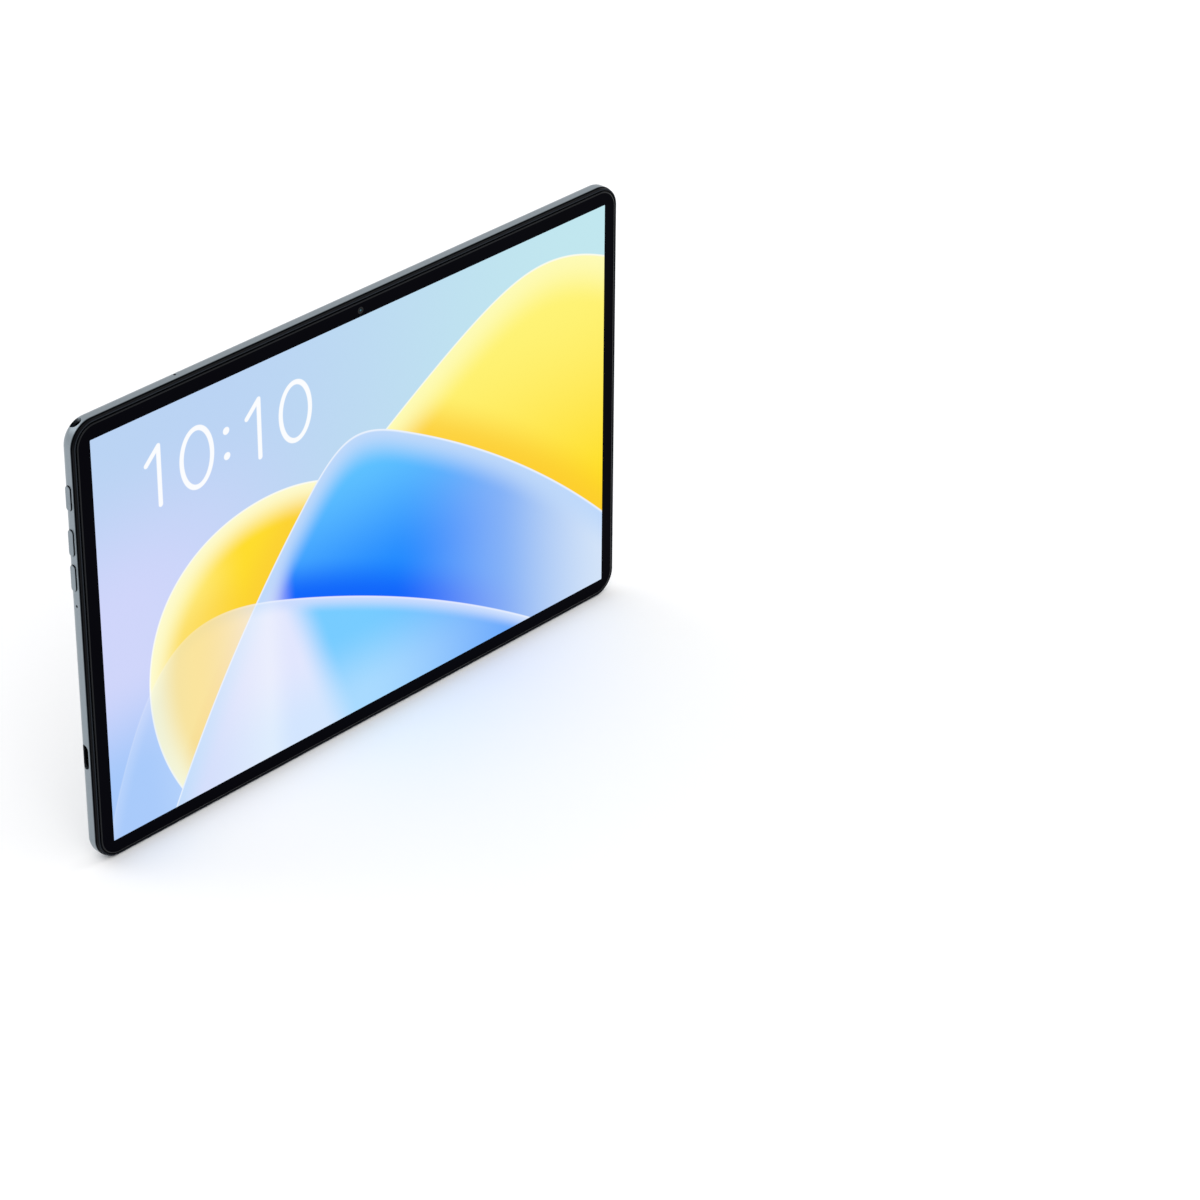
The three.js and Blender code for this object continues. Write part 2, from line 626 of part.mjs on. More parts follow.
const cameras = section();
addPiece(cameras, 'front_camera', buildFrontCamera(), contactBlack);
addPiece(cameras, 'rear_camera', buildRearCamera(), contactBlack);
addPiece(cameras, 'camera_island', buildIsland(), islandGloss);
for (const [name, { x, z }] of [['camera', CAMERA_AT], ['flash', FLASH_AT]]) {
  addPiece(cameras, `${name}_ring`, buildRing(), polishedRing, [x, 0, z]);
  addPiece(cameras, `${name}_window`, pin(RING.inner - 2 * GAP, LENS_WINDOW, 0, 0), lensGlass, [x, 0, z]);
}
const LED = [BOARD[1] + GAP, BOARD[1] + 0.75];
addPiece(cameras, 'flash_led', plate(roundedRect(3, 3, 0.3), LED), warmDiffuser, [FLASH_AT.x, 0, FLASH_AT.z]);
addPiece(cameras, 'flash_diffuser', pin(3.5, [LED[1] + 2 * GAP, THICKNESS + 0.2], 0, 0), warmDiffuser,
  [FLASH_AT.x, 0, FLASH_AT.z]);

// ---------------------------------------------------------------- antenna

/** Thin coaxial lead along the top of the battery to the antenna. */
function buildAntennaCable() {
  const route = new THREE.CatmullRomCurve3([
    new THREE.Vector3(-70, 5.4, 144), new THREE.Vector3(-56, 5.4, 147), new THREE.Vector3(-20, 5.6, 147.5),
    new THREE.Vector3(20, 5.6, 147.5), new THREE.Vector3(52, 5.4, 147), new THREE.Vector3(60, 5.4, 148),
  ]);
  const wire = new THREE.Shape();
  wire.absarc(0, 0, 0.45, 0, 2 * Math.PI);
  return new THREE.ExtrudeGeometry(wire, { steps: 14, curveSegments: 3, extrudePath: route });
}

const antenna = section();
addPiece(antenna, 'antenna_cable', buildAntennaCable(), contactBlack);
addPiece(antenna, 'wifi_antenna', box([40, 0.2, 6]), flexOrange, [81.5, 5.4, 149]);

// ---------------------------------------------------------------- screws

const fasteners = section();
BOARD_SCREWS.forEach(([x, z], index) => {
  addPiece(fasteners, `board_screw_${index + 1}`, screwGeometry(), steel, [x, BOARD[0] - GAP, z]);
});
SPEAKER_SCREWS.forEach(([x, z], index) => {
  addPiece(fasteners, `speaker_screw_${index + 1}`, screwGeometry(), steel, [x, EAR[0] - GAP, z]);
});

export default tablet;
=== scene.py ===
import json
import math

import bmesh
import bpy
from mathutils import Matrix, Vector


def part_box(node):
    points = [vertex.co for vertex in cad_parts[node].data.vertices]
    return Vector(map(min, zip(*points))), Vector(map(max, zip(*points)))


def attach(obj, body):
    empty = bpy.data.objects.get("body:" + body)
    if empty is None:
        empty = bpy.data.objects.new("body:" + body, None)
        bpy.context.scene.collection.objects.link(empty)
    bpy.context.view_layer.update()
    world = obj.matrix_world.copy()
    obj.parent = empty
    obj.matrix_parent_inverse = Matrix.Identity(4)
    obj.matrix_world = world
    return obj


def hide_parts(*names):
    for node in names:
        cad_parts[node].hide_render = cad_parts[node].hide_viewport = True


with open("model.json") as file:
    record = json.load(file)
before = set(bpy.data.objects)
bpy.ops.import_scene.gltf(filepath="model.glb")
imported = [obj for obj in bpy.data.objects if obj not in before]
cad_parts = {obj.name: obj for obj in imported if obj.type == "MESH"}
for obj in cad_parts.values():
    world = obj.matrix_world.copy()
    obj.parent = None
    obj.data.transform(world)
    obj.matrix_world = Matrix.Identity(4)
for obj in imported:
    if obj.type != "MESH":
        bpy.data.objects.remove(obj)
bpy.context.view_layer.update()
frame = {"nodes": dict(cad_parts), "record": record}

# The looks of a slim tablet computer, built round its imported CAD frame.
#
# Sizes are in millimetres, and become metres when a mesh is made. The axes are the frame's own: X along
# the width with the keys on the -X edge, Y through the thickness with the display facing -Y and the rear
# cameras facing +Y, and Z up from the edge that the tablet stands on. A depth is a distance behind the
# front of the glass.

MM = 0.001


def span(node):
    """Lowest corner, highest corner and middle of a CAD node, in millimetres."""
    low, high = (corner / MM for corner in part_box(node))
    return low, high, (low + high) / 2


# ---------------------------------------------------------------- driving dimensions

COVER_LOW, COVER_HIGH, COVER_MIDDLE = span("rear_cover")
GLASS_LOW, GLASS_HIGH, _ = span("cover_glass")
GLASS_Y = GLASS_LOW.y
HALF_WIDTH = (COVER_HIGH.x - COVER_LOW.x) / 2
HALF_HEIGHT = (COVER_HIGH.z - COVER_LOW.z) / 2
MIDDLE_Z = COVER_MIDDLE.z
CORNER_RADIUS = 8.5

BAND_FRONT = COVER_LOW.y - GLASS_Y
BAND_BACK = 3.8
BACK = COVER_HIGH.y - GLASS_Y
ROLL_WIDTH = 5.0
SIDE_WALL = 1.2
BACK_WALL = 1.0
EDGE_BREAK = 0.12
PAINTED_SHADE_WIDTH = 0.5

LIP_OUTER = 0.3
LIP_INNER = 0.9
LIP_DEPTH = 0.3
LIP_ROUND = 0.25
LEDGE_DEPTH = 0.72
LEDGE_BACK = 2.2
RIB_FIT = 0.1
WINDOW_INSET = 5.4
WINDOW_RADIUS = 0.8

GLASS_INSET = GLASS_LOW.x - COVER_LOW.x
GLASS_THICKNESS = GLASS_HIGH.y - GLASS_Y
GLASS_CURVE_WIDTH = 0.68
GLASS_CURVE_DEPTH = 0.3
GLASS_BACK_EDGE = 0.08

KEY_NODES = ("power_button", "volume_up_button", "volume_down_button")
KEY_FACE_X = span("power_button")[0].x
KEY_Y = span("power_button")[2].y
KEY_EDGE = 0.3

MODULE_MARGIN = 0.6
SCREEN_LOW, SCREEN_HIGH, SCREEN_MIDDLE = span("lcd_panel")
SCREEN_HALF_WIDTH = (SCREEN_HIGH.x - SCREEN_LOW.x) / 2 - MODULE_MARGIN
SCREEN_HALF_HEIGHT = (SCREEN_HIGH.z - SCREEN_LOW.z) / 2 - MODULE_MARGIN
SCREEN_RADIUS = 0.2
PICTURE_DEPTH = 0.03

PORT_FIT = 0.05
KEY_FLANGE_EXTRA = 2.4
KEY_FLANGE_THICKNESS = 0.5
KEY_NUB = 1.6
KEY_NUB_REACH = 0.3
KEY_CLEARANCE = 0.15

JACK_BORE = 1.75
JACK_BARREL = 2.05
JACK_POCKET = 13.9
JACK_LOW, JACK_HIGH, _ = span("headphone_jack")
JACK_MIDDLE = Vector((JACK_LOW.x + JACK_BARREL, JACK_LOW.y + JACK_BARREL, 0))
JACK_TOP = JACK_HIGH.z

ISLAND_RADIUS = 7.0

CORNER_STEPS = 24
ROLL_STEPS = 14
PILL_STEPS = 12
EDGE_STEPS = 6
FINE_STEPS = 8
GLASS_STEPS = 10
ROUND_SIDES = 96
HOLE_SIDES = 32

X_AXIS, Y_AXIS, Z_AXIS = range(3)
POINT_RADIUS = 1e-4
WELD_DISTANCE = 2e-4
SHARP_ANGLE = math.radians(32)


# ---------------------------------------------------------------- outlines

def rounded(half_width, half_height, radius, centre, steps=CORNER_STEPS):
    """Points of a rectangle with round corners, as (x, z)."""
    points = []
    for right, top, start in ((1, 1, 0), (-1, 1, 90), (-1, -1, 180), (1, -1, 270)):
        corner_x = centre[0] + right * (half_width - radius)
        corner_z = centre[1] + top * (half_height - radius)
        for step in range(steps + 1):
            angle = math.radians(start + 90 * step / steps)
            points.append((corner_x + radius * math.cos(angle), corner_z + radius * math.sin(angle)))
    return points


def body_ring(inset, depth, radius=None):
    """The tablet's own outline moved inwards, at a depth; its corners follow unless a radius is given."""
    radius = CORNER_RADIUS - inset if radius is None else radius
    outline = rounded(HALF_WIDTH - inset, HALF_HEIGHT - inset, radius, (0, MIDDLE_Z))
    return [(x, GLASS_Y + depth, z) for x, z in outline]


def screen_ring(margin, depth):
    """The lit area's outline moved outwards, at a depth."""
    outline = rounded(SCREEN_HALF_WIDTH + margin, SCREEN_HALF_HEIGHT + margin, SCREEN_RADIUS,
                      (SCREEN_MIDDLE.x, SCREEN_MIDDLE.z))
    return [(x, GLASS_Y + depth, z) for x, z in outline]


def circle(axis, radius, along, centre, sides=HOLE_SIDES):
    """Points round an axis at a place along it; centre gives the other two coordinates."""
    points = []
    for step in range(sides):
        angle = 2 * math.pi * step / sides
        point = [0.0, 0.0, 0.0]
        point[axis] = along
        point[(axis + 1) % 3] = centre[(axis + 1) % 3] + radius * math.cos(angle)
        point[(axis + 2) % 3] = centre[(axis + 2) % 3] + radius * math.sin(angle)
        points.append(tuple(point))
    return points


def pill(tall, width, x, centre):
    """Slot outline across X with half-round ends, long side up."""
    radius = width / 2
    straight = tall / 2 - radius
    points = []
    for top, start in ((1, 0), (-1, 180)):
        for step in range(PILL_STEPS + 1):
            angle = math.radians(start + 180 * step / PILL_STEPS)
            points.append((x, centre.y + radius * math.cos(angle),
                           centre.z + top * straight + radius * math.sin(angle)))
    return points


def quarter(steps=EDGE_STEPS):
    """Cosine and sine at even steps of a quarter turn, from (1, 0) to (0, 1)."""
    angles = [math.pi / 2 * step / steps for step in range(steps + 1)]
    return [(math.cos(angle), math.sin(angle)) for angle in angles]


# ---------------------------------------------------------------- solids

def loft(rings, looped=False, body=None):
    """Skin over rings of equally many points. It is closed by end faces, or end to end if looped."""
    body = body or bmesh.new()
    rows = [[body.verts.new(point) for point in ring] for ring in rings]
    following = rows[1:] + (rows[:1] if looped else [])
    for row, following_row in zip(rows, following):
        for here in range(len(row)):
            there = (here + 1) % len(row)
            body.faces.new((row[here], row[there], following_row[there], following_row[here]))
    if not looped:
        body.faces.new(rows[0])
        body.faces.new(rows[-1][::-1])
    return body


def lathe(profile, centre, axis=Y_AXIS, sides=ROUND_SIDES, looped=False, body=None):
    """Turned solid from (radius, place along the axis) pairs."""
    rings = [circle(axis, max(radius, POINT_RADIUS), along, centre, sides) for radius, along in profile]
    return loft(rings, looped, body=body)


def rod(axis, radius, start, end, centre, body=None):
    """Plain round bar along an axis."""
    return lathe([(radius, start), (radius, end)], centre, axis, HOLE_SIDES, body=body)


def temporary(body, name):
    """An object made from a solid, for a modifier to work on; the solid is used up."""
    bmesh.ops.recalc_face_normals(body, faces=body.faces)
    mesh = bpy.data.meshes.new(name)
    body.to_mesh(mesh)
    body.free()
    thing = bpy.data.objects.new(name, mesh)
    bpy.context.scene.collection.objects.link(thing)
    return thing


def boolean(body, tool, operation="DIFFERENCE"):
    """The first solid with the second one cut out of it or joined to it; both are used up."""
    kept, other = temporary(body, "kept"), temporary(tool, "tool")
    modifier = kept.modifiers.new("boolean", "BOOLEAN")
    modifier.object = other
    modifier.operation = operation
    modifier.solver = "EXACT"
    bpy.context.view_layer.update()
    evaluated = kept.evaluated_get(bpy.context.evaluated_depsgraph_get())
    result = bmesh.new()
    result.from_mesh(evaluated.to_mesh())
    evaluated.to_mesh_clear()
    for thing in (kept, other):
        mesh = thing.data
        bpy.data.objects.remove(thing)
        bpy.data.meshes.remove(mesh)
    return result


def add_piece(name, body, materials, rides="tablet", stands_for=()):
    """A finished piece from a solid in millimetres. Edges bent by more than SHARP_ANGLE stay crisp."""
    bmesh.ops.remove_doubles(body, verts=body.verts, dist=WELD_DISTANCE)
    bmesh.ops.dissolve_degenerate(body, edges=body.edges, dist=WELD_DISTANCE / 20)
    bmesh.ops.recalc_face_normals(body, faces=body.faces)
    mesh = bpy.data.meshes.new(name)
    body.to_mesh(mesh)
    body.free()
    mesh.transform(Matrix.Scale(MM, 4))
    for material in materials:
        mesh.materials.append(material)
    mesh.shade_smooth()
    mesh.set_sharp_from_angle(angle=SHARP_ANGLE)
    made = bpy.data.objects.new(name, mesh)
    bpy.context.scene.collection.objects.link(made)
    made.modifiers.new("even_shading", "WEIGHTED_NORMAL").keep_sharp = True
    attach(made, rides)
    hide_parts(*stands_for)
    return made


# ---------------------------------------------------------------- material kit

def tone(red, green, blue):
    """Linear colour of a screen colour given from 0 to 255."""
    channels = [channel / 255 for channel in (red, green, blue)]
    return tuple(c / 12.92 if c <= 0.04045 else ((c + 0.055) / 1.055) ** 2.4 for c in channels) + (1.0,)


class Value:
    """A number worked out by nodes, so that a pattern's formula reads as arithmetic."""

    def __init__(self, tree, socket):
        self.tree = tree
        self.socket = socket

    def math(self, operation, *others):
        return self.tree.math(operation, self, *others)

    def __add__(self, other):
        return self.math("ADD", other)

    def __sub__(self, other):
        return self.math("SUBTRACT", other)

    def __mul__(self, other):
        return self.math("MULTIPLY", other)

    def __truediv__(self, other):
        return self.math("DIVIDE", other)

    def __abs__(self):
        return self.math("ABSOLUTE")

    def above(self, floor):
        return self.math("MAXIMUM", floor)

    def below(self, ceiling):
        return self.math("MINIMUM", ceiling)

    def fade(self, start, end):
        """0 at start and 1 at end, eased at both."""
        node = self.tree.add("ShaderNodeMapRange", interpolation_type="SMOOTHSTEP")
        self.tree.feed(node.inputs["Value"], self)
        node.inputs["From Min"].default_value = start
        node.inputs["From Max"].default_value = end
        return Value(self.tree, node.outputs["Result"])


def length(one, other):
    """Distance from the origin of a place given by two numbers."""
    return (one * one + other * other).math("SQRT")


class Tree:
    """A material with one Principled shader, whose patterns are laid out in millimetres of the frame."""

    def __init__(self, name, **sockets):
        self.material = bpy.data.materials.new(name)
        self.material.use_nodes = True
        self.shader = self.material.node_tree.nodes["Principled BSDF"]
        self.place = self.add("ShaderNodeVectorMath", operation="SCALE")
        self.place.inputs["Scale"].default_value = 1 / MM
        self.feed(self.place.inputs[0], self.add("ShaderNodeTexCoord").outputs["Object"])
        for socket, value in sockets.items():
            self.set(socket.replace("_", " "), value)

    def add(self, kind, **settings):
        """A new node with its settings."""
        node = self.material.node_tree.nodes.new(kind)
        for setting, value in settings.items():
            setattr(node, setting, value)
        return node

    def feed(self, socket, value):
        """Links a worked-out value to a socket, or sets the socket to a constant."""
        if isinstance(value, Value):
            value = value.socket
        if isinstance(value, bpy.types.NodeSocket):
            self.material.node_tree.links.new(value, socket)
        else:
            socket.default_value = value

    def set(self, socket, value):
        """Feeds a socket of the shader."""
        self.feed(self.shader.inputs[socket], value)

    def math(self, operation, *values):
        """A maths node's result."""
        node = self.add("ShaderNodeMath", operation=operation)
        for socket, value in zip(node.inputs, values):
            self.feed(socket, value)
        return Value(self, node.outputs[0])

    def axes(self):
        """The place on the object as three numbers, in millimetres."""
        node = self.add("ShaderNodeSeparateXYZ")
        self.feed(node.inputs[0], self.place.outputs[0])
        return [Value(self, output) for output in node.outputs]

    def noise(self, per_mm, detail=2.0, stretch=None):
        """Noise with this many lumps to the millimetre, stretched by a factor for each axis."""
        node = self.add("ShaderNodeTexNoise")
        node.inputs["Scale"].default_value = per_mm
        node.inputs["Detail"].default_value = detail
        place = self.place.outputs[0]
        if stretch:
            squeeze = self.add("ShaderNodeVectorMath", operation="MULTIPLY")
            self.feed(squeeze.inputs[0], place)
            squeeze.inputs[1].default_value = stretch
            place = squeeze.outputs[0]
        self.feed(node.inputs["Vector"], place)
        return Value(self, node.outputs["Fac"])

    def mix(self, share, one, other):
        """The first colour where share is 0 and the second where it is 1."""
        node = self.add("ShaderNodeMix", data_type="RGBA")
        for index, value in ((0, share), (6, one), (7, other)):
            self.feed(node.inputs[index], value)
        return node.outputs[2]

    def bump(self, height, depth):
        """Relief this many millimetres deep where height goes from 0 to 1."""
        node = self.add("ShaderNodeBump")
        node.inputs["Distance"].default_value = depth * MM
        node.inputs["Strength"].default_value = 1.0
        self.feed(node.inputs["Height"], height)
        self.set("Normal", node.outputs[0])


def worn(name, dark, light, rough, spread, patches, grain, relief, stretch=None, **sockets):
    """A surface whose tone and gloss wander in patches, with a fine grain in relief.

    patches and grain are lumps to the millimetre, relief is the grain's depth in millimetres."""
    tree = Tree(name, **sockets)
    wander = tree.noise(patches, detail=3.0, stretch=stretch)
    fine = tree.noise(grain, stretch=stretch)
    tree.paint = tree.mix(wander.fade(0.3, 0.7), dark, light)
    tree.set("Base Color", tree.paint)
    tree.set("Roughness", wander.fade(0.25, 0.75) * spread + fine * (spread / 2) + (rough - spread * 0.75))
    tree.bump(fine, relief)
    return tree


# ---------------------------------------------------------------- materials seen from outside

def cover_metal():
    """Satin anodised metal, with painted shade where the band turns in to meet the black frame."""
    tree = worn("cover_metal", tone(137, 147, 154), tone(141, 151, 158),
                rough=0.36, spread=0.02, patches=1.6, grain=7.0, relief=0.0016, Metallic=1.0)
    _, y, _ = tree.axes()
    # painted shade: the band's colour darkens towards its front edge, next to the black frame
    painted_shade_band = y.fade(GLASS_Y + BAND_FRONT + PAINTED_SHADE_WIDTH, GLASS_Y + BAND_FRONT)
    tree.set("Base Color", tree.mix(painted_shade_band, tree.paint, tone(28, 33, 39)))
    return tree


def key_metal():
    """The cover's metal with a finer grain on the keys' faces, and painted shade on their sides down in the
    slots.
    """
    tree = worn("key_metal", tone(132, 142, 149), tone(138, 148, 155),
                rough=0.3, spread=0.05, patches=0.2, grain=9.0, relief=0.0012, Metallic=1.0)
    x, _, _ = tree.axes()
    # painted shade: the keys' sides turn dark where they sit down in the slots
    side = x.fade(KEY_FACE_X + KEY_EDGE * 0.2, KEY_FACE_X + KEY_EDGE * 0.8)
    tree.set("Base Color", tree.mix(side, tree.paint, tone(14, 22, 30)))
    return tree


def frame_plastic():
    """Black moulded frame, with a painted highlight along the crest of its lip."""
    tree = worn("frame_plastic", tone(3, 4, 7), tone(5, 6, 9),
                rough=0.34, spread=0.08, patches=0.08, grain=5.0, relief=0.003, Specular_IOR_Level=0.03)
    _, y, _ = tree.axes()
    # painted highlight: a lighter tone along the lip's front crest
    painted_highlight_crest = y.fade(GLASS_Y + LIP_DEPTH + LIP_ROUND / 2, GLASS_Y + LIP_DEPTH)
    tree.set("Base Color", tree.mix(painted_highlight_crest, tree.paint, tone(36, 40, 46)))
    return tree


def front_glass():
    return worn("front_glass", tone(2, 2, 6), tone(3, 3, 8),
                rough=0.05, spread=0.03, patches=0.02, grain=0.3, relief=0.0, Specular_IOR_Level=0.01)


def glass_edge():
    return worn("glass_edge", tone(9, 11, 15), tone(13, 15, 20),
                rough=0.1, spread=0.04, patches=0.1, grain=3.0, relief=0.0, Specular_IOR_Level=0.18)


def island_gloss():
    return worn("island_gloss", tone(4, 5, 8), tone(6, 7, 11),
                rough=0.09, spread=0.04, patches=0.3, grain=2.0, relief=0.0, Specular_IOR_Level=0.06)


def window_print():
    return worn("window_print", tone(8, 11, 24), tone(12, 16, 32),
                rough=0.06, spread=0.03, patches=0.3, grain=2.0, relief=0.0, Specular_IOR_Level=0.12)


def turned_metal(name, centre):
    """Bright ring with fine turning marks round its own middle."""
    tree = Tree(name, Metallic=1.0)
    x, _, z = tree.axes()
    marks = (length(x - centre.x, z - centre.z) * 60.0).math("SINE")
    wander = tree.noise(0.4)
    tree.set("Base Color", tree.mix(wander, tone(142, 148, 154), tone(168, 173, 178)))
    tree.set("Roughness", marks * 0.02 + wander * 0.08 + 0.16)
    tree.bump(marks, 0.0015)
    return tree


def clear_glass():
    return worn("clear_glass", tone(232, 238, 250), tone(240, 244, 252),
                rough=0.02, spread=0.01, patches=0.3, grain=2.0, relief=0.0, Transmission_Weight=1.0,
                Specular_IOR_Level=0.1)


def lens_coating_and_glint(name, centre, reach, gloss):
    """Dark coated lens: a painted teal glint in the middle that turns dark blue, and black towards its
    edge.
    """
    tree = Tree(name, Coat_Weight=gloss, Coat_Roughness=0.02, Specular_IOR_Level=gloss)
    x, _, z = tree.axes()
    radius = length(x - centre.x, z - centre.z)
    # painted glint: teal in the lens's middle, fading to dark blue outwards
    glow = tree.mix(radius.fade(0.0, reach), tone(44, 108, 122), tone(6, 9, 22))
    tree.set("Base Color", tree.mix(radius.fade(reach * 0.6, reach), glow, tone(3, 3, 6)))
    tree.set("Roughness", tree.noise(1.0) * 0.03 + 0.03)
    return tree


def diffuser():
    tree = worn("diffuser", tone(236, 224, 196), tone(250, 240, 216),
                rough=0.28, spread=0.08, patches=0.8, grain=6.0, relief=0.004, Coat_Weight=0.3)
    # painted glow: a faint warm emission, though the flash is off
    tree.set("Emission Color", tree.mix(tree.noise(0.6), tone(240, 222, 184), tone(252, 240, 214)))
    tree.set("Emission Strength", 0.12)
    return tree


def moulding_black():
    return worn("moulding_black", tone(11, 12, 14), tone(18, 19, 22),
                rough=0.48, spread=0.12, patches=0.2, grain=4.0, relief=0.01, Specular_IOR_Level=0.15)


def speaker_mesh():
    """Woven black acoustic cloth."""
    tree = Tree("speaker_mesh", Sheen_Weight=0.2)
    x, y, _ = tree.axes()
    weave = ((x * 25.0).math("SINE") * (y * 25.0).math("SINE")) * 0.5 + 0.5
    tree.set("Base Color", tree.mix(weave, tone(8, 8, 9), tone(38, 40, 43)))
    tree.set("Roughness", weave * 0.2 + 0.6)
    tree.bump(weave, 0.05)
    return tree


def contact_gold():
    return worn("contact_gold", tone(196, 158, 84), tone(222, 186, 112),
                rough=0.24, spread=0.1, patches=1.0, grain=8.0, relief=0.003, Metallic=1.0)


# ---------------------------------------------------------------- materials inside

def steel_sheet():
    return worn("steel_sheet", tone(158, 162, 166), tone(182, 186, 190),
                rough=0.34, spread=0.12, patches=0.3, grain=2.0, relief=0.004, stretch=(0.15, 1.0, 1.5),
                Metallic=1.0)


def socket_steel_painted_shade():
    """Steel of the USB-C socket, darkened as painted shade for the inside of its opening."""
    return worn("socket_steel_painted_shade", tone(30, 34, 39), tone(42, 46, 52),
                rough=0.36, spread=0.1, patches=0.6, grain=6.0, relief=0.002, Metallic=1.0)


def alloy_sheet():
    return worn("alloy_sheet", tone(148, 153, 157), tone(166, 171, 175),
                rough=0.46, spread=0.12, patches=0.1, grain=3.0, relief=0.006, Metallic=1.0)


def display_film():
    return worn("display_film", tone(52, 60, 68), tone(70, 79, 88),
                rough=0.26, spread=0.08, patches=0.05, grain=1.0, relief=0.001, Coat_Weight=0.5,
                Coat_Roughness=0.05)


def light_guide():
    return worn("light_guide", tone(222, 230, 234), tone(238, 243, 246),
                rough=0.22, spread=0.08, patches=0.05, grain=2.5, relief=0.01, Coat_Weight=0.3)


def adhesive():
    return worn("adhesive", tone(24, 24, 26), tone(40, 40, 43),
                rough=0.8, spread=0.15, patches=0.6, grain=6.0, relief=0.02)


def cell_pouch():
    return worn("cell_pouch", tone(44, 46, 50), tone(66, 69, 74),
                rough=0.36, spread=0.14, patches=0.06, grain=0.7, relief=0.05, Metallic=0.4)


def chip():
    return worn("chip", tone(20, 22, 24), tone(32, 34, 37),
                rough=0.5, spread=0.14, patches=0.5, grain=7.0, relief=0.006)


def flex_film():
    """Amber film with copper tracks showing through."""
    tree = Tree("flex_film", Coat_Weight=0.4, Coat_Roughness=0.15)
    _, _, z = tree.axes()
    tracks = (z * 6.0).math("SINE").fade(0.1, 0.5)
    wander = tree.noise(0.2)
    film = tree.mix(wander, tone(140, 78, 24), tone(170, 104, 40))
    tree.set("Base Color", tree.mix(tracks, film, tone(196, 128, 64)))
    tree.set("Roughness", wander * 0.15 + 0.3)
    tree.bump(tracks, 0.02)
    return tree


def circuit_board():
    """Green solder mask over a web of tracks, with pads."""
    tree = Tree("circuit_board", Coat_Weight=0.3, Coat_Roughness=0.2)
    cells = tree.add("ShaderNodeTexVoronoi", feature="DISTANCE_TO_EDGE", distance="CHEBYCHEV")
    cells.inputs["Scale"].default_value = 0.45
    tree.feed(cells.inputs["Vector"], tree.place.outputs[0])
    tracks = Value(tree, cells.outputs["Distance"]).fade(0.12, 0.04)
    wander = tree.noise(0.3)
    mask = tree.mix(wander, tone(16, 72, 52), tone(24, 92, 66))
    tree.set("Base Color", tree.mix(tracks, mask, tone(52, 128, 92)))
    tree.set("Roughness", wander * 0.15 + 0.38)
    tree.bump(tracks, 0.03)
    return tree


# ---------------------------------------------------------------- the lit picture

# The picture is laid out in millimetres from the lower left corner of the lit area. A sheet is bounded by
# two wide arcs that meet in a soft crown. Each arc is a place it goes through, the direction it faces there
# in degrees from the right, and its radius.
SHEET_EDGE = 0.18
SHEET_LINE = 0.9
YELLOW_RIGHT = {"arcs": ((150, 117, 120, 900), (226, 128, 66, 120)), "crown": 24}
YELLOW_LEFT = {"arcs": ((17.5, 54, 178, 90), (62, 97, 98, 72)), "crown": 26}
BLUE_SHEET = {"arcs": ((56, 49, 145, 420), (165, 78, 57, 400)), "crown": 26}
FRONT_SHEET = {"arcs": ((10, 33, 155, 200), (100, 48, 68, 520)), "crown": 46}

CLOCK = {"left": 18.0, "top": 11.5, "height": 22.5, "stroke": 1.8, "advance": 17.0, "colon": 8.0}
CLOCK_COLON_DOT = 0.45
DIGIT_WIDTH = 14.5
DIGIT_ONE_FLAG = 5.2


def sheet_depth(x, y, sheet):
    """How far inside a sheet a place is; it is below 0 outside."""
    depths = []
    for edge_x, edge_y, facing, radius in sheet["arcs"]:
        centre_x = edge_x - radius * math.cos(math.radians(facing))
        centre_y = edge_y - radius * math.sin(math.radians(facing))
        depths.append(length(x - centre_x, y - centre_y) * -1.0 + radius)
    return depths[0].math("SMOOTH_MIN", depths[1], float(sheet["crown"]))


def lay_sheet(tree, under, depth, fill, glow, glow_width, opacity=1.0):
    """A soft sheet over what is drawn so far: its fill, a glow inside its edge and a bright line there."""
    body = tree.mix(depth.fade(glow_width, 0.0), fill, glow)
    lined = tree.mix(depth.fade(SHEET_LINE, SHEET_LINE * 0.3) * 0.7, body, tone(250, 252, 255))
    return tree.mix(depth.fade(-SHEET_EDGE, SHEET_EDGE) * opacity, under, lined)


def oval_stroke(x, y, half_x, half_y):
    """Distance from the outline of an upright oval."""
    ratio = length(x / half_x, y / half_y)
    slope = length(x / half_x ** 2, y / half_y ** 2)
    return abs((ratio - 1.0) * ratio / slope.above(1e-4))


def digit_zero(x, y):
    """Distance from a zero's outline."""
    return oval_stroke(x, y, (DIGIT_WIDTH - CLOCK["stroke"]) / 2, (CLOCK["height"] - CLOCK["stroke"]) / 2)


def digit_one(x, y):
    """Distance from an upright bar with a short flag."""
    half = (CLOCK["height"] - CLOCK["stroke"]) / 2
    bar = length(x, (abs(y) - half).above(0.0))
    along = ((x + (y - half)) * 0.5).below(0.0).above(-DIGIT_ONE_FLAG)
    flag = length(x - along, y - half - along)
    return bar.below(flag)


def clock_mask(x, y):
    """1 on the strokes of a plain clock that reads 10:10."""
    upright = y - (2 * SCREEN_HALF_HEIGHT - CLOCK["top"] - CLOCK["height"] / 2)
    pair = 2 * CLOCK["advance"] + CLOCK["colon"]
    distances = []
    for start in (CLOCK["left"], CLOCK["left"] + pair):
        distances.append(digit_one(x - (start + DIGIT_WIDTH * 0.6), upright))
        distances.append(digit_zero(x - (start + CLOCK["advance"] + DIGIT_WIDTH / 2), upright))
    colon_x = CLOCK["left"] + pair - (CLOCK["colon"] + CLOCK["advance"] - DIGIT_WIDTH) / 2
    distances.append(length(x - colon_x, abs(upright) - CLOCK["height"] * 0.2) - CLOCK_COLON_DOT)
    nearest = distances[0]
    for distance in distances[1:]:
        nearest = nearest.below(distance)
    reach = CLOCK["stroke"] / 2
    return nearest.fade(reach + SHEET_EDGE, reach - SHEET_EDGE)


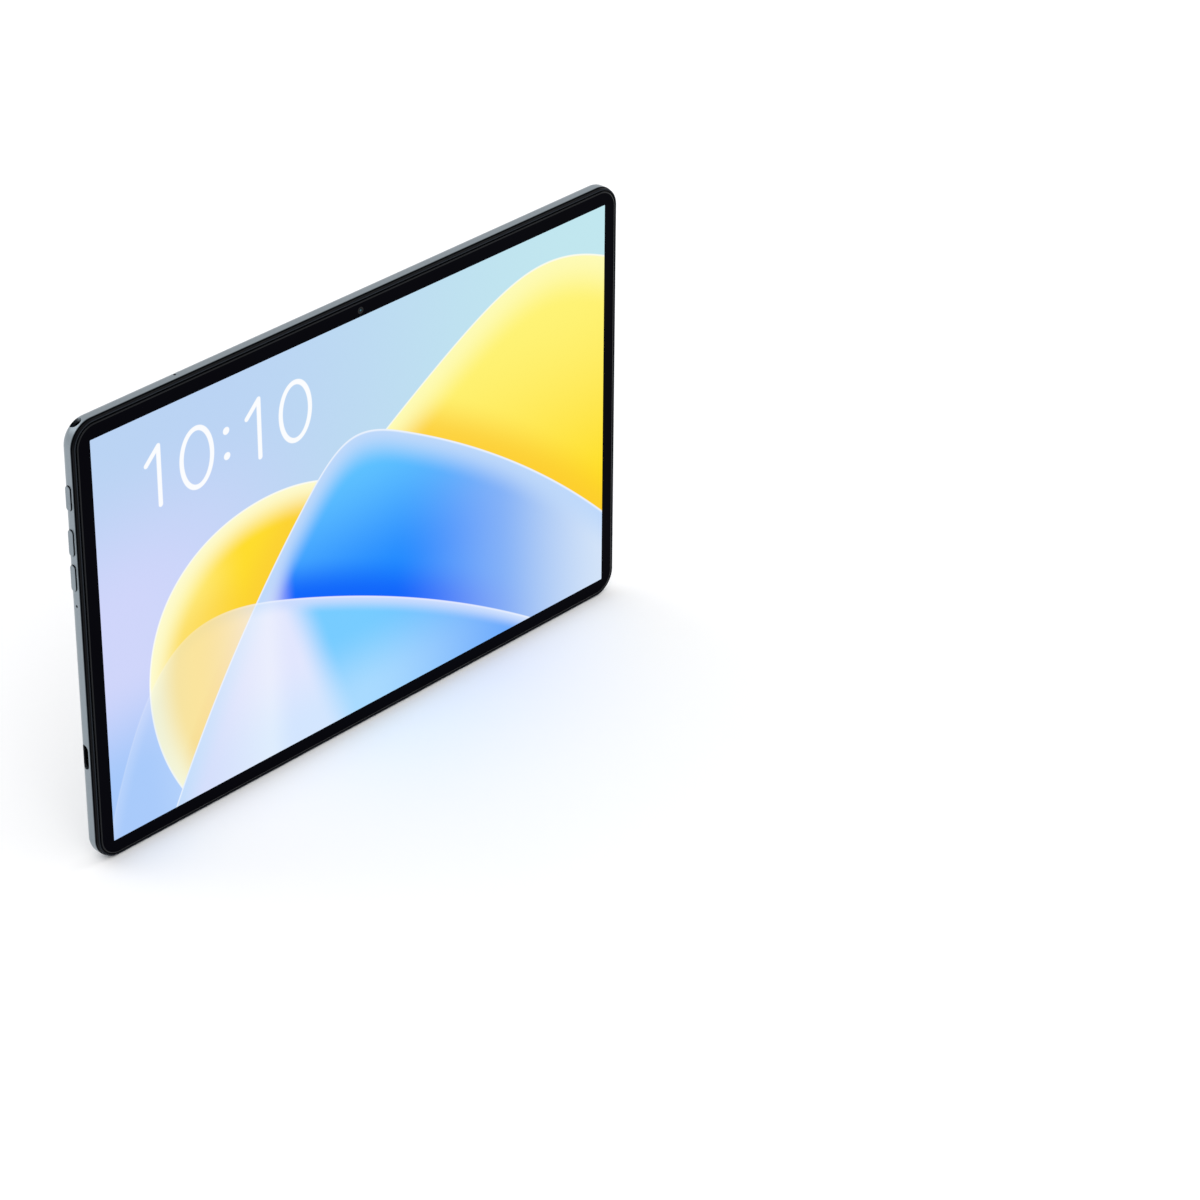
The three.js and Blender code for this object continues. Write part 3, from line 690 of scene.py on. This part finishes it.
def sky_paint(tree, x, y):
    """Pale sky: blue turning green to the right, lilac on the left and bluer at the bottom."""
    sky = tree.mix(x.fade(40.0, 227.0), tone(186, 211, 243), tone(192, 230, 238))
    sky = tree.mix(x.fade(110.0, 10.0) * y.fade(140.0, 80.0), sky, tone(207, 213, 250))
    return tree.mix(y.fade(60.0, 20.0), sky, tone(166, 200, 250))


def yellow_right_fill(tree, y, under_blue):
    """Yellow that deepens downwards and next to the blue sheet."""
    fill = tree.mix(y.fade(128.0, 30.0), tone(254, 243, 118), tone(254, 222, 20))
    return tree.mix(under_blue * 0.75, fill, tone(252, 200, 40))


def yellow_left_fill(tree, x, under_blue, under_front):
    """Yellow that deepens to the right and behind the other two sheets."""
    fill = tree.mix(x.fade(22.0, 62.0), tone(254, 244, 150), tone(254, 220, 40))
    return tree.mix((under_blue * 0.7).above(under_front * 0.5), fill, tone(250, 204, 48))


def blue_fill(tree, x, y, under_front):
    """Blue that deepens downwards and pales at both sides."""
    fill = tree.mix(y.fade(102.0, 44.0), tone(96, 196, 254), tone(24, 136, 254))
    fill = tree.mix(under_front, fill, tone(2, 100, 250))
    fill = tree.mix(x.fade(125.0, 205.0) * y.fade(110.0, 60.0), fill, tone(150, 188, 244))
    fill = tree.mix(x.fade(175.0, 235.0), fill, tone(212, 228, 248))
    return tree.mix(x.fade(82.0, 68.0), fill, tone(207, 214, 250))


def front_fill(tree, x, y):
    """White that turns light blue along a leaning line, and pales again at the bottom."""
    lean = x + y * 0.35 - 19.0
    fill = tree.mix(lean.fade(74.0, 90.0), tone(244, 246, 254), tone(128, 216, 255))
    fill = tree.mix(y.fade(34.0, 4.0) * 0.55, fill, tone(214, 244, 255))
    fill = tree.mix(x.fade(40.0, 14.0), fill, tone(176, 208, 251))
    return tree.mix(x.fade(110.0, 200.0), fill, tone(84, 158, 252))


def lit_display():
    """The picture on the display: sheets of colour that crown like waves over a pale sky, and a clock."""
    tree = Tree("lit_display", Roughness=0.06, Specular_IOR_Level=0.02, Base_Color=tone(4, 4, 6))
    frame_x, _, frame_z = tree.axes()
    x = frame_x - (SCREEN_MIDDLE.x - SCREEN_HALF_WIDTH)
    y = frame_z - (SCREEN_MIDDLE.z - SCREEN_HALF_HEIGHT)
    blue_depth = sheet_depth(x, y, BLUE_SHEET)
    front_depth = sheet_depth(x, y, FRONT_SHEET)
    under_blue = blue_depth.fade(-16.0, 0.0)
    under_front = front_depth.fade(-15.0, 0.0)

    picture = lay_sheet(tree, sky_paint(tree, x, y), sheet_depth(x, y, YELLOW_RIGHT),
                        yellow_right_fill(tree, y, under_blue), tone(253, 250, 180), glow_width=18.0)
    picture = lay_sheet(tree, picture, sheet_depth(x, y, YELLOW_LEFT),
                        yellow_left_fill(tree, x, under_blue, under_front), tone(253, 250, 205),
                        glow_width=13.0)
    picture = lay_sheet(tree, picture, blue_depth, blue_fill(tree, x, y, under_front),
                        tone(190, 216, 250), glow_width=12.0)
    picture = lay_sheet(tree, picture, front_depth, front_fill(tree, x, y), tone(220, 234, 254),
                        glow_width=6.0, opacity=x.fade(34.0, 84.0) * 0.6 + 0.24)
    picture = tree.mix(clock_mask(x, y) * 0.92, picture, tone(255, 255, 255))
    tree.set("Emission Color", picture)
    tree.set("Emission Strength", 1.0)
    return tree


SLOT_MAKERS = (cover_metal, key_metal, frame_plastic, front_glass, lit_display, display_film, light_guide,
               adhesive, steel_sheet, alloy_sheet, cell_pouch, circuit_board, chip, flex_film,
               moulding_black, speaker_mesh, island_gloss, diffuser)
FINISH = {maker.__name__: maker().material for maker in SLOT_MAKERS}
FINISH["ring_metal"] = turned_metal("ring_metal", span("camera_ring")[2]).material
FINISH["lens_glass"] = window_print().material


def finish_cad_nodes():
    """Gives every CAD node the finish of its slot in the record."""
    for part in frame["record"]["subparts"]:
        node = frame["nodes"][part["node"]]
        node.material_slots[0].material = FINISH[part["material_slot"]]


# ---------------------------------------------------------------- rear cover

THROUGH = 1.0
KEY_REACH = 3.0
KEY_RECESS_HALF_WIDTH = 1.55
KEY_RECESS_HALF_HEIGHT = 22.0
KEY_RECESS_DROP = 0.5
USB_REACH = 8.0
MIC_SIDE_HOLE = 0.45
MIC_SIDE_REACH = SIDE_WALL + 0.4
MIC_TOP_HOLE = 0.5
MIC_TOP_REACH = SIDE_WALL + 0.6
LENS_BORES = {"camera_ring": 4.0, "flash_ring": 2.2}
LENS_BORE_FRONT = 5.0
LENS_BORE_BACK = BACK - 0.3
ISLAND_POCKET = 0.5
BOSS_RADIUS = 1.9
BOSS_BORE = 0.6
BOSS_FRONT = 5.15
BOSS_BORE_FRONT = 4.0
BOSS_ROOT = 0.3
SPEAKER_HOLES = 8
SPEAKER_PITCH = 2.33
SPEAKER_HOLE = 0.7
SPEAKER_HOLE_DEPTH = 3.0
SPEAKER_HOLE_REACH = SIDE_WALL + 0.8
SPEAKER_FLARE = 0.12


def roll(inset, back):
    """(inset, depth) pairs of the elliptical roll from the side band to the flat of the back."""
    width, rise = ROLL_WIDTH - inset, back - BAND_BACK
    return [(inset + width * (1 - cos), BAND_BACK + rise * sin) for cos, sin in quarter(ROLL_STEPS)]


def cover_skin():
    """The shell of the rear cover, from its inner back round its front edge to its outer back."""
    inner = roll(SIDE_WALL, BACK - BACK_WALL)[::-1]
    front_edge = [(SIDE_WALL, BAND_FRONT), (EDGE_BREAK, BAND_FRONT),
                  (EDGE_BREAK * 0.3, BAND_FRONT + EDGE_BREAK * 0.3), (0, BAND_FRONT + EDGE_BREAK)]
    return loft([body_ring(inset, depth) for inset, depth in inner + front_edge + roll(0, BACK)])


def key_slot(body, node):
    """Adds the cut that a key cap slides in."""
    low, high, middle = span(node)
    width = high.y - low.y + 2 * KEY_CLEARANCE
    slot = high.z - low.z - KEY_FLANGE_EXTRA + 2 * KEY_CLEARANCE
    loft([pill(slot, width, COVER_LOW.x + x, middle) for x in (-THROUGH, KEY_REACH)], body=body)


def speaker_hole_places(node):
    """Middles of the row of holes in front of a speaker's mesh."""
    middle = span(node)[2]
    first = middle.x - SPEAKER_PITCH * (SPEAKER_HOLES - 1) / 2
    return [Vector((first + index * SPEAKER_PITCH, GLASS_Y + SPEAKER_HOLE_DEPTH, 0))
            for index in range(SPEAKER_HOLES)]


def outer_cuts():
    """Openings that meet the outside of the cover."""
    cuts = bmesh.new()
    for node in KEY_NODES:
        key_slot(cuts, node)
    low, high, usb = span("usb_port_shell")
    loft([pill(high.z - low.z + 2 * PORT_FIT, high.y - low.y + 2 * PORT_FIT, COVER_LOW.x + x, usb)
          for x in (-THROUGH, USB_REACH)], body=cuts)
    rod(Z_AXIS, JACK_BORE + PORT_FIT, JACK_TOP, COVER_HIGH.z + THROUGH, JACK_MIDDLE, cuts)
    rod(X_AXIS, MIC_SIDE_HOLE, COVER_LOW.x - THROUGH, COVER_LOW.x + MIC_SIDE_REACH,
        span("microphone_side")[2], cuts)
    rod(Z_AXIS, MIC_TOP_HOLE, COVER_HIGH.z - MIC_TOP_REACH, COVER_HIGH.z + THROUGH,
        span("microphone_top")[2], cuts)
    flare = SPEAKER_HOLE + SPEAKER_FLARE
    for node in ("speaker_mesh_left", "speaker_mesh_right"):
        for place in speaker_hole_places(node):
            lathe([(flare + THROUGH, -THROUGH), (flare, 0), (SPEAKER_HOLE, SPEAKER_FLARE),
                   (SPEAKER_HOLE, SPEAKER_HOLE_REACH)], place, Z_AXIS, HOLE_SIDES, body=cuts)
    low, high, island = span("camera_island")
    pocket = rounded((high.x - low.x) / 2 + PORT_FIT, (high.z - low.z) / 2 + PORT_FIT,
                     ISLAND_RADIUS + PORT_FIT, (island.x, island.z))
    loft([[(x, GLASS_Y + depth, z) for x, z in pocket]
          for depth in (BACK - ISLAND_POCKET, BACK + THROUGH)], body=cuts)
    return cuts


def inner_cuts():
    """Recesses behind the outer openings: for the key flanges, the jack's barrel and the lens bores."""
    cuts = bmesh.new()
    front = COVER_LOW.x + SIDE_WALL
    recess_z = span("key_bracket")[2].z - KEY_RECESS_DROP
    corners = [(-1, -1), (1, -1), (1, 1), (-1, 1)]
    loft([[(front + ahead, KEY_Y + y * KEY_RECESS_HALF_WIDTH, recess_z + z * KEY_RECESS_HALF_HEIGHT)
           for y, z in corners] for ahead in (0, KEY_REACH)], body=cuts)
    rod(Z_AXIS, JACK_BARREL + 2 * PORT_FIT, JACK_TOP - JACK_POCKET, JACK_TOP + 2 * PORT_FIT,
        JACK_MIDDLE, cuts)
    for node, radius in LENS_BORES.items():
        rod(Y_AXIS, radius, GLASS_Y + LENS_BORE_FRONT, GLASS_Y + LENS_BORE_BACK, span(node)[2], cuts)
    return cuts


def bosses(radius, ahead, behind):
    """Screw bosses, or their bores, on the inside of the back."""
    body = bmesh.new()
    screws = [name for name in frame["nodes"] if name.startswith(("board_screw", "speaker_screw"))]
    for name in sorted(screws):
        rod(Y_AXIS, radius, GLASS_Y + ahead, GLASS_Y + behind, span(name)[2], body)
    return body


def make_cover():
    """Rear cover: a thin shell with bosses inside and every opening cut through."""
    inner_back = BACK - BACK_WALL
    shell = boolean(cover_skin(), bosses(BOSS_RADIUS, BOSS_FRONT, inner_back + BOSS_ROOT), "UNION")
    shell = boolean(shell, bosses(BOSS_BORE, BOSS_BORE_FRONT, inner_back))
    shell = boolean(shell, outer_cuts())
    shell = boolean(shell, inner_cuts())
    add_piece("cover_shell", shell, [FINISH["cover_metal"]], stands_for=["rear_cover"])


# ---------------------------------------------------------------- front: frame, glass and picture

FRONT_CAMERA = span("front_camera")[2]
FRONT_CAMERA_BORE = 1.55
FRONT_LENS = 1.25
FRONT_LENS_DEPTH = 0.3
FRONT_LENS_PUPIL = 0.62
FRONT_LENS_DISH = 0.14
FRONT_LENS_DOME = 0.1


def make_frame():
    """Black frame: a lip with a round top, a trough, a ledge under the glass and a rib inside the cover."""
    rounded_out = [(LIP_OUTER + LIP_ROUND * (1 - cos), LIP_DEPTH + LIP_ROUND * (1 - sin))
                   for cos, sin in quarter()]
    rounded_in = [(LIP_INNER - LIP_ROUND * (1 - cos), LIP_DEPTH + LIP_ROUND * (1 - sin))
                  for cos, sin in quarter()][::-1]
    rib = SIDE_WALL + RIB_FIT
    back = BAND_FRONT - PORT_FIT
    rings = [body_ring(rib, LEDGE_BACK), body_ring(rib, back), body_ring(LIP_OUTER, back)]
    rings += [body_ring(inset, depth) for inset, depth in rounded_out + rounded_in]
    rings += [body_ring(LIP_INNER, LEDGE_DEPTH), body_ring(WINDOW_INSET, LEDGE_DEPTH, WINDOW_RADIUS),
              body_ring(WINDOW_INSET, LEDGE_BACK, WINDOW_RADIUS)]
    bore = rod(Y_AXIS, FRONT_CAMERA_BORE, GLASS_Y, GLASS_Y + LEDGE_BACK + THROUGH, FRONT_CAMERA)
    body = boolean(loft(rings, looped=True), bore)
    add_piece("bezel_frame", body, [FINISH["frame_plastic"]], stands_for=["mid_frame"])


def make_glass():
    """Cover glass with a curved edge, its black border and a seat for the lit picture."""
    edge = [(GLASS_INSET + GLASS_CURVE_WIDTH * (1 - cos), GLASS_CURVE_DEPTH * (1 - sin))
            for cos, sin in quarter(GLASS_STEPS)]
    rings = [body_ring(GLASS_INSET + GLASS_BACK_EDGE, GLASS_THICKNESS),
             body_ring(GLASS_INSET, GLASS_THICKNESS - GLASS_BACK_EDGE)]
    rings += [body_ring(inset, depth) for inset, depth in edge]
    rings += [screen_ring(0, 0), screen_ring(0, PICTURE_DEPTH)]
    body = loft(rings)
    for side in body.faces:
        if any(vertex.co.y > GLASS_Y + PICTURE_DEPTH * 1.5 for vertex in side.verts):
            side.material_index = 1
    bore = rod(Y_AXIS, FRONT_LENS, GLASS_Y - THROUGH, GLASS_Y + FRONT_LENS_DEPTH, FRONT_CAMERA)
    body = boolean(body, bore)
    add_piece("front_glass_sheet", body, [FINISH["front_glass"], glass_edge().material],
              stands_for=["cover_glass"])


def make_picture():
    """The lit area: a thin sheet that fills its seat in the glass."""
    fit = 0.01
    body = loft([screen_ring(-fit, PICTURE_DEPTH - fit / 5), screen_ring(-fit, 0)])
    add_piece("lit_picture", body, [FINISH["lit_display"]])


def make_front_lens():
    """Round window in the border with a chamfer outside and a small domed lens in a dish."""
    fit = 0.03
    outer, back = FRONT_LENS - fit, FRONT_LENS_DEPTH - 0.02
    rim = FRONT_LENS_PUPIL + 0.12
    profile = [(0, back), (outer, back), (outer, fit), (outer - fit, 0.0), (rim, 0.0),
               (FRONT_LENS_PUPIL, FRONT_LENS_DISH)]
    profile += [(FRONT_LENS_PUPIL * cos, FRONT_LENS_DISH - FRONT_LENS_DOME * sin)
                for cos, sin in quarter(FINE_STEPS)]
    body = lathe([(radius, GLASS_Y + depth) for radius, depth in profile], FRONT_CAMERA, sides=48)
    coating = lens_coating_and_glint("front_lens_coating", FRONT_CAMERA, reach=0.5, gloss=0.1)
    add_piece("front_camera_window", body, [coating.material])


# ---------------------------------------------------------------- keys

def make_key(node, rides):
    """A key cap with a round edge, its retaining flange and the nub that reaches its switch."""
    low, high, middle = span(node)
    width = high.y - low.y
    cap = high.z - low.z - KEY_FLANGE_EXTRA
    rings = []
    for cos, sin in quarter(FINE_STEPS):
        shrink = 2 * KEY_EDGE * (1 - sin)
        rings.append(pill(cap - shrink, width - shrink, low.x + KEY_EDGE * (1 - cos), middle))
    flange_back = high.x - KEY_NUB_REACH
    flange_front = flange_back - KEY_FLANGE_THICKNESS
    rings += [pill(cap, width, flange_front, middle),
              pill(cap + KEY_FLANGE_EXTRA, width, flange_front, middle),
              pill(cap + KEY_FLANGE_EXTRA, width, flange_back, middle),
              pill(KEY_NUB, KEY_NUB, flange_back, middle), pill(KEY_NUB, KEY_NUB, high.x, middle)]
    add_piece(node.replace("button", "key_cap"), loft(rings), [FINISH["key_metal"]], rides,
              [node])


# ---------------------------------------------------------------- USB-C port

USB_WALL = 0.3
USB_BACK = 1.2
USB_CONTACTS = 12
USB_CONTACT_PITCH = 0.5


def make_usb():
    """The socket's drawn shell with a rounded mouth."""
    low, high, middle = span("usb_port_shell")
    tall, width = high.z - low.z, high.y - low.y
    outer = [(USB_WALL / 2 * (1 - cos), USB_WALL / 2 * (1 - sin)) for cos, sin in quarter(4)]
    inner = [(USB_WALL - shrink, ahead) for shrink, ahead in reversed(outer)]
    rings = [pill(tall, width, high.x, middle)]
    rings += [pill(tall - 2 * shrink, width - 2 * shrink, low.x + ahead, middle)
              for shrink, ahead in outer + inner]
    rings += [pill(tall - 2 * USB_WALL, width - 2 * USB_WALL, high.x - USB_BACK, middle)]
    add_piece("usb_socket_shell", loft(rings), [socket_steel_painted_shade().material],
              stands_for=["usb_port_shell"])
    make_usb_tongue()


def make_usb_tongue():
    """The tongue in the socket, thinner and rounded at its nose, with a row of contacts on each side."""
    low, high, middle = span("usb_port_tongue")
    half_z, half_y = (high.z - low.z) / 2, (high.y - low.y) / 2
    skin = 0.04
    rings = []
    for x, shrink in ((low.x, 0.22), (low.x + 0.1, 0.1), (low.x + 0.3, skin), (high.x, skin)):
        outline = rounded(half_z - shrink, half_y - shrink, 0.1, (middle.z, middle.y), 4)
        rings.append([(x, y, z) for z, y in outline])
    add_piece("usb_tongue", loft(rings), [FINISH["moulding_black"]],
              stands_for=["usb_port_tongue"])
    pads = bmesh.new()
    pad_half_width, pad_half_height = 0.14, 0.03
    for side in (-1, 1):
        pad_y = middle.y + side * (half_y - skin + pad_half_height)
        for index in range(USB_CONTACTS):
            pad_z = middle.z + (index - (USB_CONTACTS - 1) / 2) * USB_CONTACT_PITCH
            outline = rounded(pad_half_width, pad_half_height, 0.02, (pad_z, pad_y), 2)
            loft([[(x, y, z) for z, y in outline] for x in (low.x + 0.6, low.x + 3.2)], body=pads)
    add_piece("usb_contacts", pads, [contact_gold().material])


# ---------------------------------------------------------------- rear cameras

ISLAND_EDGE = 0.32
BORE_CHAMFER = 0.12
RING_WIDTH = 0.6
RING_EDGE = 0.2
WINDOW_EDGE = 0.1
PRINT_HOLE = 2.4
FLASH_HOLE = 1.8
BAFFLE = {"outer": 2.25, "rim": 2.1, "inner": 1.5, "deep": 0.24, "back": 0.28, "steps": 4}
LENS_FIT = 0.03
LENS_DOME = 0.22
FLASH_RIDGES = 5
FLASH_RIDGE = 0.07


def make_island():
    """Gloss plate with a round edge and a bore for each lens ring."""
    low, high, middle = span("camera_island")
    half_x, half_z = (high.x - low.x) / 2, (high.z - low.z) / 2
    rings = [[(x, low.y, z) for x, z in rounded(half_x, half_z, ISLAND_RADIUS, (middle.x, middle.z))]]
    for cos, sin in quarter(FINE_STEPS):
        shrink = ISLAND_EDGE * (1 - cos)
        outline = rounded(half_x - shrink, half_z - shrink, ISLAND_RADIUS - shrink, (middle.x, middle.z))
        rings.append([(x, high.y - ISLAND_EDGE * (1 - sin), z) for x, z in outline])
    bores = bmesh.new()
    for node in ("camera_ring", "flash_ring"):
        ring_low, ring_high, centre = span(node)
        radius = (ring_high.x - ring_low.x) / 2 + PORT_FIT
        lathe([(radius, low.y - THROUGH), (radius, high.y - BORE_CHAMFER), (radius + BORE_CHAMFER, high.y),
               (radius + THROUGH, high.y + THROUGH)], centre, body=bores)
    add_piece("island_plate", boolean(loft(rings), bores), [FINISH["island_gloss"]],
              stands_for=["camera_island"])


def make_ring(node):
    """Turned ring with a round top."""
    low, high, centre = span(node)
    outer = (high.x - low.x) / 2
    inner = outer - RING_WIDTH
    profile = [(inner, low.y), (outer, low.y)]
    profile += [(outer - RING_EDGE * (1 - cos), high.y - RING_EDGE * (1 - sin)) for cos, sin in quarter()]
    profile += [(inner + RING_EDGE * (1 - cos), high.y - RING_EDGE * (1 - sin))
                for cos, sin in quarter()][::-1]
    name = node.replace("_ring", "_trim_ring")
    add_piece(name, lathe(profile, centre, looped=True), [turned_metal(name, centre).material],
              stands_for=[node])


def window_profile(node, hole):
    """Section of a flat window from its inner edge round to its front, with a small chamfer outside."""
    low, high, _ = span(node)
    outer = (high.x - low.x) / 2
    return [(hole, low.y), (outer, low.y), (outer, high.y - WINDOW_EDGE), (outer - WINDOW_EDGE, high.y),
            (hole, high.y)]


def make_camera_window():
    """Window over the camera: printed black round a clear middle."""
    low, high, centre = span("camera_window")
    profile = [(0, low.y)] + window_profile("camera_window", PRINT_HOLE) + [(0, high.y)]
    body = lathe(profile, centre)
    for side in body.faces:
        middle = side.calc_center_median()
        clear = math.hypot(middle.x - centre.x, middle.z - centre.z) < PRINT_HOLE
        side.material_index = 1 if clear else 0
    add_piece("camera_lens_window", body, [FINISH["lens_glass"], clear_glass().material],
              stands_for=["camera_window"])


def make_camera_lens():
    """Stepped black baffle and the domed front lens in the camera's barrel."""
    centre = span("camera_window")[2]
    top = span("rear_camera")[1].y
    inner, steps = BAFFLE["inner"], BAFFLE["steps"]
    floor, back = top - BAFFLE["deep"], top - BAFFLE["back"]
    profile = [(BAFFLE["outer"], back), (BAFFLE["outer"], top)]
    for index in range(steps):
        radius = BAFFLE["rim"] - (BAFFLE["rim"] - inner) * index / steps
        profile += [(radius, top - BAFFLE["deep"] * level / steps) for level in (index, index + 1)]
    profile += [(inner, floor), (inner, back)]
    add_piece("camera_baffle", lathe(profile, centre, looped=True), [FINISH["moulding_black"]])
    lens = inner - LENS_FIT
    dome = [(0, back), (lens, back)]
    dome += [(lens * cos, floor + LENS_DOME * sin) for cos, sin in quarter(GLASS_STEPS)]
    coating = lens_coating_and_glint("rear_lens_coating", centre, reach=inner, gloss=0.5)
    add_piece("camera_lens", lathe(dome, centre), [coating.material])


def make_flash():
    """Window round the flash, and its diffuser with fine concentric ridges."""
    _, high, centre = span("flash_window")
    body = lathe(window_profile("flash_window", FLASH_HOLE), centre, looped=True)
    add_piece("flash_lens_window", body, [FINISH["lens_glass"]], stands_for=["flash_window"])
    back = span("flash_diffuser")[0].y
    fit = 0.04
    radius, top = FLASH_HOLE - fit, high.y - fit
    profile = [(0, back), (radius, back), (radius, top - 0.05)]
    for index in range(FLASH_RIDGES):
        outside = radius * (1 - index / FLASH_RIDGES)
        inside = radius * (1 - (index + 1) / FLASH_RIDGES)
        profile += [(outside - fit / 2, top - FLASH_RIDGE), (inside + fit, top)]
    profile += [(0, top)]
    add_piece("flash_diffuser_lens", lathe(profile, centre), [FINISH["diffuser"]],
              stands_for=["flash_diffuser"])


# ---------------------------------------------------------------- studio

FLOOR_RADIUS = 12.0
LIGHT_TARGET = Vector((0, 0, 0.08))


def floor_paint():
    return worn("floor_paint", tone(251, 251, 252), tone(253, 253, 254),
                rough=0.7, spread=0.1, patches=0.004, grain=0.4, relief=0.02)


def make_floor():
    """A round pale floor; its radius is in metres."""
    mesh = bpy.data.meshes.new("floor")
    body = bmesh.new()
    bmesh.ops.create_circle(body, cap_ends=True, segments=ROUND_SIDES, radius=FLOOR_RADIUS)
    body.to_mesh(mesh)
    body.free()
    mesh.materials.append(floor_paint().material)
    floor = bpy.data.objects.new("floor", mesh)
    bpy.context.scene.collection.objects.link(floor)


def add_softbox(name, size, power, place):
    """A large soft lamp that faces the tablet; its size and place are in metres."""
    lamp = bpy.data.lights.new(name, "AREA")
    lamp.shape = "RECTANGLE"
    lamp.size, lamp.size_y = size
    lamp.energy = power
    light = bpy.data.objects.new(name, lamp)
    light.location = place
    light.rotation_mode = "QUATERNION"
    light.rotation_quaternion = (LIGHT_TARGET - Vector(place)).to_track_quat("-Z", "Y")
    light.visible_camera = False
    bpy.context.scene.collection.objects.link(light)


def light_studio():
    """Even white surroundings and three softboxes."""
    world = bpy.data.worlds.new("studio")
    bpy.context.scene.world = world
    world.use_nodes = True
    sky = world.node_tree.nodes["Background"]
    sky.inputs["Color"].default_value = (1.0, 1.0, 1.0, 1.0)
    sky.inputs["Strength"].default_value = 0.93
    add_softbox("key", size=(2.0, 2.0), power=16.0, place=(-1.4, -1.9, 2.4))
    add_softbox("rear", size=(2.2, 1.6), power=12.0, place=(-0.9, 2.2, 2.0))
    add_softbox("side", size=(1.4, 1.8), power=10.0, place=(2.4, -0.4, 1.6))


VIEW_AZIMUTH, VIEW_ELEVATION, VIEW_ROLL = -47.071, 31.036, 0.538
VIEW_OFFSET = (77.13, -27.95, 1396.65)
VIEW_DEPTH = 0.42
SENSOR_WIDTH = 36.0
LENS = 127.87


def make_camera():
    """Camera at the photograph's angle, placed from a point just behind the middle of the screen's face."""
    azimuth, elevation, roll_angle = (math.radians(a) for a in (VIEW_AZIMUTH, VIEW_ELEVATION, VIEW_ROLL))
    back = Vector((math.sin(azimuth) * math.cos(elevation), -math.cos(azimuth) * math.cos(elevation),
                   math.sin(elevation)))
    level = Vector((0, 0, 1)).cross(back).normalized()
    upright = back.cross(level)
    right = level * math.cos(roll_angle) + upright * math.sin(roll_angle)
    up = upright * math.cos(roll_angle) - level * math.sin(roll_angle)
    start = Vector((SCREEN_MIDDLE.x, GLASS_Y + VIEW_DEPTH, SCREEN_MIDDLE.z))
    lens = bpy.data.cameras.new("camera")
    lens.sensor_width = SENSOR_WIDTH
    lens.lens = LENS
    camera = bpy.data.objects.new("camera", lens)
    place = start + right * VIEW_OFFSET[0] + up * VIEW_OFFSET[1] + back * VIEW_OFFSET[2]
    turn = Matrix((right, up, back)).transposed().to_4x4()
    camera.matrix_world = Matrix.Translation(place * MM) @ turn
    bpy.context.scene.collection.objects.link(camera)
    bpy.context.scene.camera = camera


# ---------------------------------------------------------------- assembly

make_camera()
finish_cad_nodes()
make_cover()
make_frame()
make_glass()
make_picture()
make_front_lens()
for key_node, key_body in zip(KEY_NODES, ("power_key", "volume_up_key", "volume_down_key")):
    make_key(key_node, key_body)
make_usb()
make_island()
make_ring("camera_ring")
make_ring("flash_ring")
make_camera_window()
make_camera_lens()
make_flash()
make_floor()
light_studio()
bpy.context.scene.view_settings.view_transform = "Standard"
